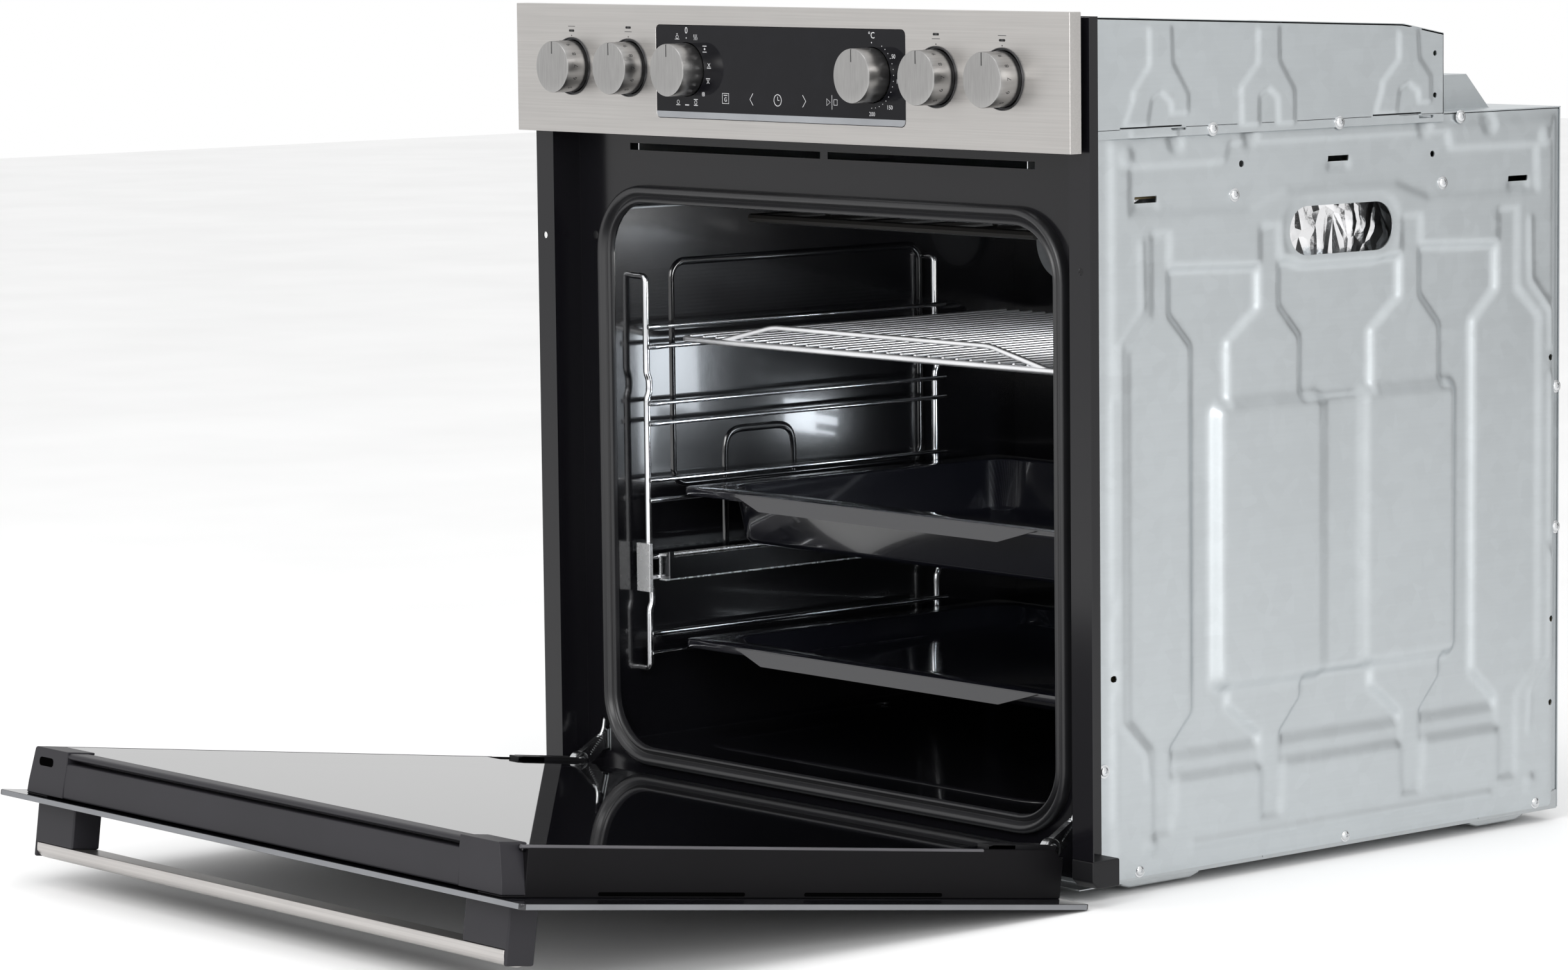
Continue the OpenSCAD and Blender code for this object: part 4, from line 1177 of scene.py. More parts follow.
@dataclass
class Housing:
    """Galvanised casing: pressed side panels, upper casing, rear, base and their screws."""

    field: float = 271.5
    bottle: float = 274.9
    face: float = 276.4
    pad: float = 279.0
    strip: float = 274.2
    casing: float = 276.0

    def side_presses(self) -> list[Press]:
        """Pressed areas of a side panel, in the order they are laid over each other."""
        top_recess = [(57, 486), (147, 486.4), (152, 499), (368, 499), (371.5, 486.3), (461.5, 485.5),
                      (463, 453), (350, 452.5), (316, 464), (206, 464), (171.5, 452.7), (57, 453.8)]
        necks = [(77, 94, 55.5, 115), (181, 200, 151, 220.5), (322, 341, 293, 361.5),
                 (422, 441.5, 397.5, 464.5)]
        made = [Press([(40, 3), (481, 3), (481, 504), (40, 504)], self.face, 6)]
        made.append(Press(top_recess, self.face - 1.5, 3.5))
        for (_, left, _, wide), (right, _, narrow, _) in zip(necks, necks[1:]):
            top = 418 if left < 300 else 421
            made.append(Press([(left, top - 2), (left, 384), (wide, 362), (wide, 111), (left, 89), (left, 69),
                               (right, 69), (right, 89), (narrow, 111), (narrow, 362), (right, 384),
                               (right, top - 5)],
                              self.field, 6.5))
        pads = ((97, 181), (201, 321.5), (343, 423.5))
        made += [Press(corners((low - 2, 40), (high + 2, 82), 5), self.face - 2.4, 8) for low, high in pads]
        for left, right, wide_left, wide_right in necks:
            made.append(Press([(left, 441), (right, 441), (right, 384), (wide_right, 362), (wide_right, 111),
                               (right, 89), (right, 30), (left, 30), (left, 89), (wide_left, 111),
                               (wide_left, 362), (left, 384)], self.bottle, 4.0))
        made += [Press(corners((low, 33), (high, 67), 5), self.face + 0.4, 7) for low, high in pads]
        made.append(Press([(240, 126), (282, 126), (282, 319), (240, 319)], self.face - 0.4, 5))
        for low, high, bottom in ((138, 242, 125), (281, 376.5, 127)):
            made.append(Press(corners((low, bottom), (high, 320), 7), self.pad, 10.5))
        for path in ([(67, 436), (68, 389), (47, 367), (46.5, 110), (70, 86), (72, 68)],
                     [(455, 434), (456, 389), (478, 366), (478.5, 338)], [(478.5, 320), (478.5, 200)],
                     [(479, 190), (478, 112), (457, 90), (455, 60)]):
            made.append(Press(ribbon(path, 3.6), 1.4, 3.0, True))
        for low, high in ((150, 182), (196, 330), (40, 131)):
            made.append(Press(oval((37.5, low), (43, high)), 0.9, 2.5, True))
        made.append(Press(oval((111, 16.5), (415, 21.5)), 1.2, 3.0, True))
        for centre in ((53, 493), (471, 491), (73, 23), (456, 23)):
            made.append(Press(disc(centre, 5.5), 1.6, 5.0, True))
        for centre in ((100, 502), (172, 503), (345, 503), (412, 503)):
            made.append(Press(disc(centre, 7.0), -1.6, 4.0, True))
        made.append(Press(oval((203, 411), (320, 459)), self.face - 0.8, 5))
        for low, high in (((248.5, 477.5), (269, 482)), ((433, 456), (453.5, 460)), ((62, 457.5), (83, 461.5))):
            made.append(Press([low, (high[0], low[1]), high, (low[0], high[1])], -1.4, 1.8, True))
        return made

    def side_holes(self) -> list[Sequence[Flat]]:
        """Punched holes of a side panel."""
        made = [oval((210, 418.2), (313, 452.3))]
        round_holes = ((163.7, 484.2), (353.9, 483.1), (477.5, 331.2), (40.4, 141.3), (478.5, 140.6),
                       (478.7, 79.1))
        made += [disc(centre, 2.4) for centre in round_holes]
        for low, high in (((248.5, 482), (269, 486)), ((433, 460), (453.5, 464)), ((62, 461.5), (83, 466))):
            made.append([low, (high[0], low[1]), high, (low[0], high[1])])
        return made

    def build_side(self, side: Side) -> None:
        """Builds one side panel with its rear flange."""
        sign = side.value
        low, high = box_mm("side_panel_right")
        sheet = PressedSheet(
            (low.y, low.z), (high.y, high.z - 0.6), lambda u, v, h: (sign * h, u, v), self.strip,
            presses=self.side_presses(), holes=self.side_holes(),
        )
        node = "side_panel_" + side.name.lower()
        piece(node + ".pressed", sheet.mesh(node, flip=sign < 0), Look.SHEET, Body.HOUSING, [node], angle=60)
        flange = Shape()
        for bottom, top in ((3, 60), (66, 160), (172, 300), (318, 430), (442, 500)):
            flange.block((sign * 256, high.y - 1.2, bottom), (sign * 274, high.y, top))
        flange.block((sign * 256, high.y - 1.2, 3), (sign * 266, high.y, 503))
        piece(node + ".flange", flange, Look.SHEET, Body.HOUSING, bevel=0.3)
        foil_low, foil_high = box_mm("insulation")
        foil = PressedSheet(
            (foil_low.y + 4, 380), (foil_high.y - 14, foil_high.z - 2),
            lambda u, v, h: (sign * (foil_high.x + 0.3 + h), u, v), 0.0, 4.0, 0,
            [Press(ribbon([(195, 470), (250, 430), (270, 400)], 12), 1.2, 9, True),
             Press(ribbon([(240, 470), (282, 440), (330, 425)], 9), 1.6, 7, True),
             Press(ribbon([(275, 470), (286, 438), (280, 400)], 7), 1.3, 6, True)],
        )
        piece("insulation.foil_" + side.name.lower(), foil.mesh("foil", 0.1, sign < 0), Look.FOIL,
              Body.HOUSING, angle=60)

    def build_top(self) -> None:
        """Builds the upper casing: its two pressed sides and its ribbed top."""
        low, _ = box_mm("top_cover")
        bottles = [
            [(75, 579), (96, 579), (97, 555), (111.5, 534), (111.5, 521), (95.5, 521), (95.5, 528), (86, 536),
             (77, 531), (73, 513), (51, 513), (59.5, 531), (59.5, 536), (75, 554)],
            [(178.5, 576), (199, 576), (199.5, 553), (214, 533), (214, 510.5), (198.3, 510.5), (197.5, 528.5),
             (188.3, 535), (179.4, 530), (179.4, 510.5), (162.8, 510.5), (162, 537), (178.5, 552.5)],
            [(318, 570), (337.3, 570), (338.8, 551), (350.6, 538), (350.6, 520), (338.3, 520), (337.4, 528),
             (327.8, 534), (318.5, 530), (315.6, 513.3), (294, 513.3), (301, 531), (301, 535), (318, 551)],
        ]
        rear = low.y + 339
        outline = [(low.y, 505.5), (rear, 505.5), (rear, 568), (rear - 41, 575.5), (low.y, 587.5)]
        slits = [[(48, 511.6), (106, 511.6), (106, 513.0), (48, 513.0)],
                 [(292, 511.6), (341, 511.6), (341, 513.0), (292, 513.0)],
                 [(95.5, 509.5), (110, 509.5), (110, 512), (95.5, 512)],
                 [(339, 508.6), (354, 508.6), (354, 511), (339, 511)]]
        for side in Side:
            sign = side.value
            sheet = PressedSheet(
                (low.y, 505.5), (rear, 588), lambda u, v, h, s=sign: (s * h, u, v), self.casing, 1.5, 1,
                [Press(b, self.casing + 1.3, 2.6) for b in bottles]
                + [Press(ribbon([(58, 508), (102, 508)], 5), 1.0, 3, True),
                   Press(disc((60, 579), 4), 0, 2, True)],
                [*slits, disc((355.2, 554), 2), disc((355.2, 524.5), 2)], outline,
            )
            stands = ["top_cover"] if side is Side.RIGHT else []
            piece("top_cover.side_" + side.name.lower(), sheet.mesh("casing", flip=sign < 0), Look.SHEET,
                  Body.HOUSING, stands, angle=60)
        ridge = [(low.y, 587), (rear - 41, 575), (rear, 567.5)]

        def over(u: np.ndarray, v: np.ndarray, h: np.ndarray) -> tuple[np.ndarray, np.ndarray, np.ndarray]:
            """Lays the top sheet on the casing's ridge line."""
            base = np.interp(v, [p[0] for p in ridge], [p[1] for p in ridge])
            return u, v, base + h

        lid = PressedSheet(
            (-self.casing, low.y), (self.casing, rear), over, 0.0, 3.0, 1,
            [Press(corners((-232, low.y + 30), (232, low.y + 120), 12), -3.0, 7),
             Press(corners((-232, low.y + 150), (-60, rear - 30), 12), -3.0, 7),
             Press(corners((60, low.y + 150), (232, rear - 30), 12), -3.0, 7)]
            + [Press(disc((s * 262, y), 6), 0.9, 5, True) for s in (-1, 1) for y in (75, 188, 327)],
            [oval((x, low.y + 66), (x + 22, low.y + 71)) for x in range(-190, 180, 34)],
        )
        piece("top_cover.lid", lid.mesh("lid"), Look.SHEET, Body.HOUSING, angle=60)
        walls = Shape().block((-self.casing, low.y, 511), (self.casing, rear, 512))
        walls.block((-self.casing, rear - 1, 511), (self.casing, rear, 567))
        piece("top_cover.walls", walls, Look.SHEET, Body.HOUSING, bevel=0.3)

    def build_screws(self) -> None:
        """Copies one star-drive screw to every fixing point of both sides."""
        turned = [(0, 1.3), (1.1, 1.3), (1.35, 2.2), (2.6, 2.0), (3.3, 1.3), (3.5, 0.7), (4.7, 0.6), (4.9, 0.0),
                  (4.6, -0.4), (0, -0.4)]
        head = Shape().lathe(turned, (0, 0, 0), 0, 20)
        spots = [(276.0, 135, 509), (276.0, 258.5, 508.8), (276.0, 381.5, 508.2),
                 (self.face - 1.5, 156.7, 463.1),
                 (self.face - 1.5, 364.1, 462.2), (self.strip, 487 - 2, 309.5), (self.strip, 485, 207),
                 (275.6, 63.4, 7.4), (275.6, 264.3, 7.2), (275.6, 462.8, 7.4), (self.strip, 32, 79)]
        tree = Scatter("Screw row", Look.SCREW)
        for side in Side:
            turn = (0.0, 0.0, 0.0) if side is Side.RIGHT else (0.0, 0.0, math.pi)
            places = [(side.value * x, y, z) for x, y, z in spots]
            stands = ["housing_screws"] if side is Side.RIGHT else []
            piece("housing_screws." + side.name.lower(), tree.over("screws", head, places, turn), Look.SCREW,
                  Body.HOUSING, stands, angle=40)

    def build_base(self) -> None:
        """Builds the base: pan, notched side strips and the skids under it."""
        refined("base_pan", Look.BASE, 0.3)
        strip = [(26, 1), (96, 1), (98, 4), (150, 5), (153, 8.5), (180, 8.5), (183, 1.5), (215, 2), (218, 10.5),
                 (300, 11), (303, 4), (320, 3.5), (323, 11), (400, 11), (403, 2), (484, 1.5), (484, 13.2),
                 (303, 13.2), (290, 14.2), (245, 14.2), (235, 13.2), (60, 13.2), (50, 14), (26, 12)]
        skids = Shape()
        edges = Shape()
        for sign in (-1, 1):
            part = Shape().prism(strip, 0, 274.3, 275.6)
            edges.add([(sign * x, y, z) for x, y, z in part.points], part.faces)
            for y0, y1 in ((50, 132), (398, 462)):
                outline = [(y0, 0.6), (y0 + 5, -3.4), (y0 + 12, -5.4), (y1 - 12, -5.4), (y1 - 5, -3.4),
                           (y1, 0.6)]
                skid = Shape().prism(outline, 0, 236, 268)
                skids.add([(sign * x, y, z) for x, y, z in skid.points], skid.faces)
        piece("base_pan.strips", edges, Look.BASE, Body.HOUSING, bevel=0.25)
        piece("base_pan.skids", skids, Look.BASE, Body.HOUSING, bevel=1.2)

    def build_rear(self) -> None:
        """Builds the rear panel's pressed sheet and the hood behind the upper casing."""
        low, high = box_mm("rear_panel")
        louvres = [oval((125, 60 + 12 * i), (191, 64.5 + 12 * i)) for i in range(9)]
        louvres += [[(-u, v) for u, v in hole][::-1] for hole in louvres]
        fan_low, fan_high = box_mm("fan_motor")
        fan_z = (fan_low.z + fan_high.z) / 2
        box_low, box_high = box_mm("terminal_box")
        sheet = PressedSheet(
            (low.x, low.z), (high.x, high.z), lambda u, v, h: (u, high.y + h, v), 0.0, 2.6, 1,
            [Press(corners((-255, 20), (255, 200), 14), -2.0, 6),
             Press(corners((-255, 330), (150, 440), 14), -2.0, 6),
             Press(disc((0, fan_z), 62, 32), -2.4, 8), Press(corners((-240, 455), (120, 495), 8), -1.6, 5)]
            + [Press(oval((s * 170 - 6, 212), (s * 170 + 6, 320)), -1.4, 5) for s in (-1, 1)],
            [*louvres, disc((0, fan_z), 20, 28),
             [(box_low.x + 5, box_low.z + 5), (box_high.x - 5, box_low.z + 5),
              (box_high.x - 5, box_high.z - 5), (box_low.x + 5, box_high.z - 5)]],
        )
        piece("rear_panel.pressed", sheet.mesh("rear", flip=True), Look.SHEET, Body.HOUSING, ["rear_panel"],
              angle=60)
        refined("rear_cover", Look.SHEET, 1.2)

    def build(self) -> None:
        """Builds the whole casing."""
        for side in Side:
            self.build_side(side)
        self.build_top()
        self.build_rear()
        self.build_base()
        self.build_screws()


@dataclass
class FrontFrame:
    """Enamelled front frame, its plugs and lower corner pieces, and the rubber seal."""

    lip_half: float = 6.5

    def build(self) -> None:
        """Builds the frame and the seal."""
        refined("front_frame", Look.FRAME, 0.5)
        refined("frame_corners", Look.CARRIER, 1.2)
        self.build_seal()
        self.build_plugs()

    def build_seal(self) -> None:
        """Sweeps the seal's two lips round the cavity's mouth."""
        low, high = box_mm("door_gasket")
        half = self.lip_half
        loop = corners((low.x + half, low.z + half), (high.x - half, high.z - half), 44.5, 14)
        front, back = low.y, high.y
        section = [(6.5, back), (6.5, front + 4.2), (5.9, front + 2.0), (4.6, front + 0.5), (2.9, front),
                   (1.3, front + 0.6), (0.2, front + 2.2), (-0.6, front + 4.6), (-1.8, front + 5.4),
                   (-3.0, front + 4.4), (-4.2, front + 2.9), (-5.4, front + 2.9), (-6.2, front + 4.0),
                   (-6.5, front + 5.6), (-6.5, back)]
        rings = []
        count = len(loop)
        for i, (x, z) in enumerate(loop):
            ahead, behind = Vector(loop[(i + 1) % count]), Vector(loop[i - 1])
            along = (ahead - behind).normalized()
            out = Vector((along.y, -along.x))
            rings.append([(x + out.x * u, y, z + out.y * u) for u, y in section])
        piece("door_gasket.lips", Shape().loft(rings, closed=True), Look.SEAL, Body.HOUSING, ["door_gasket"],
              angle=60)

    def build_plugs(self) -> None:
        """Adds the small plugs on the front plate."""
        plug = Shape().lathe([(0, -1.2), (2.6, -1.1), (3.2, -0.6), (3.3, 0.2), (0, 0.2)], (259.5, 24, 420), 1,
                             20).mirrored()
        piece("front_frame.plugs", plug, Look.CARRIER, Body.HOUSING, angle=40)


@dataclass
class ControlPanel:
    """Fascia, display window, printing, collars, knobs and the controls behind them."""

    front: float = -18.0
    knob_z: float = 546.8
    knobs: tuple[tuple[str, float], ...] = (
        ("hob_knob_1", -232.0), ("hob_knob_2", -166.0), ("function_knob", -100.0),
        ("temperature_knob", 100.0), ("hob_knob_3", 166.0), ("hob_knob_4", 232.0),
    )

    def build_print(self) -> None:
        """Draws the display's symbols, the dial figures and the marks over the hob knobs."""
        light = Artwork(lambda u, v, w: (u, self.front - w, v), 0.06)
        z = 527.2
        light.stroke([(-60.5, z - 3.6), (-53.5, z - 3.6), (-53.5, z + 3.6), (-60.5, z + 3.6)], 0.45, True)
        light.stroke([(-59, z + 2.2), (-55, z + 2.2)], 0.5)
        light.figures("G", (-57, z - 0.9), 3.0)
        for x, way in ((-28.5, 1), (28.5, -1)):
            light.stroke([(x + 1.7 * way, z + 4.2), (x - 1.7 * way, z), (x + 1.7 * way, z - 4.2)], 0.5)
        light.ring((0, z), 4.0, 0.5).stroke([(0, z + 2.6), (0, z), (1.8, z)], 0.5)
        light.stroke([(52.5, z + 2.4), (52.5, z - 2.4), (56.2, z)], 0.45,
                     True).stroke([(58, z - 5), (58, z + 5)], 0.4)
        light.stroke([(60, z - 1.9), (63.6, z - 1.9), (63.6, z + 1.9), (60, z + 1.9)], 0.45, True)
        light.figures("0", (-100, self.knob_z + 27.6), 4.6).disc((-100, self.knob_z + 22.4), 0.5)
        light.figures("°C", (100, self.knob_z + 27.0), 4.4).disc((100, self.knob_z + 22.2), 0.5)
        for text, angle, reach in (("50", 30, 26), ("100", -8, 28.5), ("150", -50, 28.5), ("200", -90, 26.8)):
            a = math.radians(angle)
            light.figures(text, (100 + reach * math.cos(a), self.knob_z + reach * math.sin(a)), 2.9)
        for i in range(16):
            a = math.radians(62 - 10.2 * i)
            light.disc((100 + 22.6 * math.cos(a), self.knob_z + 22.6 * math.sin(a)), 0.34)
        self.draw_functions(light)
        piece("display_window.printing", light.shape, Look.PRINT, Body.HOUSING, angle=30)
        dark = Artwork(lambda u, v, w: (u, self.front - w, v), 0.06)
        for x, dash_on_top in ((-232, False), (-166, True), (166, True), (232, False)):
            line, dash = (575.7, 572.6) if not dash_on_top else (572.6, 575.7)
            dark.stroke([(x - 4, line), (x + 4, line)], 0.4)
            dark.stroke([(x - 2.3, dash), (x + 2.3, dash)], 1.7).disc((x, 569.0), 0.5)
            dark.disc((x - 2.3, dash), 0.85).disc((x + 2.3, dash), 0.85)
        piece("fascia.marks", dark.shape, Look.INK, Body.HOUSING, angle=30)
        strip = corners((-134.2, 512.3), (134.2, 521), 3.8, 6)
        strip = [(u, min(v, 516.8)) for u, v in strip]
        piece("display_window.strip", Shape().prism(strip, 1, self.front - 0.08, self.front + 0.2),
              Look.STRIP, Body.HOUSING, angle=30)

    def draw_functions(self, art: Artwork) -> None:
        """Draws the ring of oven-function symbols round the left oven knob."""
        for kind, angle in enumerate((66, 36, 8, -19, -43, -67, -90, -113, 114)):
            a = math.radians(angle)
            x, z = -100 + 25.2 * math.cos(a), self.knob_z + 25.2 * math.sin(a)
            if kind == 0:
                for dx in (-1.6, 0, 1.6):
                    art.stroke([(x + dx, z - 2), (x + dx + 0.5, z - 0.7), (x + dx - 0.4, z + 0.7),
                                (x + dx, z + 2)], 0.4)
            elif kind == 6:
                art.stroke([(x - 2.2, z), (x + 2.2, z)], 0.8)
            elif kind == 8:
                art.ring((x, z), 1.3, 0.4).stroke([(x - 0.8, z + 2.2), (x + 0.8, z + 2.2)], 0.4)
                art.stroke([(x - 2.6, z - 1.6), (x + 2.6, z - 1.6)], 0.35)
            else:
                if kind in (1, 3, 5):
                    art.stroke([(x - 2.2, z + 2.1), (x + 2.2, z + 2.1)], 0.55)
                if kind in (1, 2, 5, 7):
                    art.stroke([(x - 2.2, z - 2.1), (x + 2.2, z - 2.1)], 0.55)
                if kind in (2, 3, 4):
                    art.stroke([(x - 1.3, z - 1.3), (x + 1.3, z + 1.3)],
                               0.45).stroke([(x - 1.3, z + 1.3), (x + 1.3, z - 1.3)], 0.45)
                if kind in (4, 5, 7):
                    art.ring((x, z), 1.3, 0.4)
                if kind == 1:
                    art.disc((x, z), 0.8)

    def build_knob(self, node: str, x: float, hob: bool) -> None:
        """Builds a turned knob with its pointer and, on a hob knob, the figures on its skirt."""
        low, high = box_mm(node)
        face, base, r = low.y, high.y, (high.x - low.x) / 2
        depth = base - face
        profile = [(0, 0.12), (r * 0.5, 0.05), (r - 0.95, 0.0), (r - 0.3, 0.28), (r, 0.95), (r, depth - 1.0),
                   (r - 0.25, depth), (r - 1.6, depth), (r - 1.7, 1.4), (0, 1.4)]
        shape = Shape().lathe(profile, (x, face, self.knob_z), 1, 96)
        piece(node + ".turned", shape, Look.KNOB, node, [node], angle=25)
        pointer = Shape().block((x - 0.45, face - 0.0, self.knob_z + 9.5),
                                (x + 0.45, face + 0.4, self.knob_z + r - 0.5))
        pointer.points = [(px, py - 0.03, pz) for px, py, pz in pointer.points]
        piece(node + ".pointer", pointer, Look.INK, node, angle=30)
        if not hob:
            return

        def round_skirt(u: float, v: float, w: float) -> Point:
            """Lays figures round the skirt: u runs round it, v towards the cabinet."""
            a = u / r
            reach = r + w - 0.02
            return (x + reach * math.sin(a), face + v, self.knob_z + reach * math.cos(a))

        art = Artwork(round_skirt, 0.08)
        for figure in range(10):
            away = math.radians(28.0 * ((10 - figure) % 10) + 4)
            art.figures(str(figure), (r * away, 8.2), 3.4, 180)
        piece(node + ".figures", art.shape, Look.INK, node, angle=30)

    def build(self) -> None:
        """Builds the control panel."""
        refined("fascia", Look.FASCIA, 0.45)
        refined("display_window", Look.WINDOW, 0.35)
        refined("fascia_carrier", Look.CARRIER, 0.5)
        collars = Shape()
        ring = [(20.0, 0.2), (20.3, -1.1), (20.9, -1.2), (21.1, -0.7), (21.1, 0.0), (20.1, 0.0), (20.0, 5.8),
                (19.3, 5.8), (19.2, 0.4)]
        for name, x in self.knobs:
            if name.startswith("hob"):
                collars.lathe(ring, (x, self.front, self.knob_z), 1, 72)
        piece("knob_collars.turned", collars, Look.COLLAR, Body.HOUSING, ["knob_collars"], angle=30)
        for name, x in self.knobs:
            self.build_knob(name, x, name.startswith("hob"))
        for number in range(1, 5):
            dress(f"hob_spindle_{number}", Look.SPINDLE)
        dress("function_spindle", Look.SPINDLE)
        dress("temperature_spindle", Look.SPINDLE)
        refined("control_board", Look.BOARD, 0.2)
        refined("control_units", Look.CREAM, 1.0)
        self.build_print()


@dataclass
class Chamber:
    """Enamelled oven chamber with its heaters, fan, lamp and the parts packed round it."""

    def build_wall_ridges(self) -> None:
        """Adds the pressed ridges of the side walls, ceiling and floor."""
        low, high = box_mm("cavity")
        wall = high.x - 1.0
        ridges = Shape()

        def ridge(
            path: Sequence[Flat], lift: Callable[[float, float, float], Point], closed: bool = True
        ) -> None:
            """Raises a rounded ridge along a path."""
            section = ((-3.4, -0.3), (-2.0, 1.2), (0, 1.9), (2.0, 1.2), (3.4, -0.3))
            line = [Vector(p) for p in path]
            count = len(line)
            rings = []
            for i, here in enumerate(line):
                before = line[i - 1] if closed or i else here
                after = line[(i + 1) % count] if closed or i < count - 1 else here
                side = (after - before).normalized()
                side = Vector((-side.y, side.x))
                rings.append([lift(*(here + side * u), w) for u, w in section])
            ridges.loft(rings, caps=not closed, closed=closed)

        frame_path = corners((79, 231), (327, 398), 12, 8)
        arch = [(129, 175), (129, 255), (132, 264), (140, 268.5), (186, 268.5), (194, 264), (197, 255),
                (197, 175)]
        for sign in (-1, 1):
            ridge(frame_path, lambda u, v, w, s=sign: (s * (wall - w), u, v))
            ridge([(p[0], p[1]) for p in rounded([(a, b, 0) for a, b in arch], 9, 5)],
                  lambda u, v, w, s=sign: (s * (wall - w), u, v), False)
        ceiling = high.z - 1.0
        ridge(corners((-150, 70), (150, 330), 26, 8), lambda u, v, w: (u, v, ceiling - w))
        floor = low.z + 1.0
        ridge(corners((-190, 60), (190, 372), 30, 8), lambda u, v, w: (u, v, floor + w))
        piece("cavity.ridges", ridges, Look.CAVITY, Body.HOUSING, angle=60)

    def build(self) -> None:
        """Builds the chamber and everything in the casing."""
        refined("cavity", Look.CAVITY, 0.0)
        self.build_wall_ridges()
        refined("insulation", Look.WOOL, 2.0)
        # The heaters' darkened steel is partly painted shade.
        for node in ("grill_element", "bottom_element", "ring_element"):
            refined(node, Look.HEATER, 0.0)
        refined("fan_cover", Look.CAVITY, 0.5)
        dress("convection_fan", Look.HINGE)
        refined("fan_motor", Look.DUCT, 0.8)
        refined("oven_lamp", Look.CERAMIC, 0.5)
        refined("lamp_lens", Look.LENS, 0.8)
        refined("cooling_blower", Look.DUCT, 0.8)
        dress("blower_rotor", Look.DUCT)
        refined("air_duct", Look.DUCT, 0.4)
        refined("terminal_box", Look.CARRIER, 1.2)


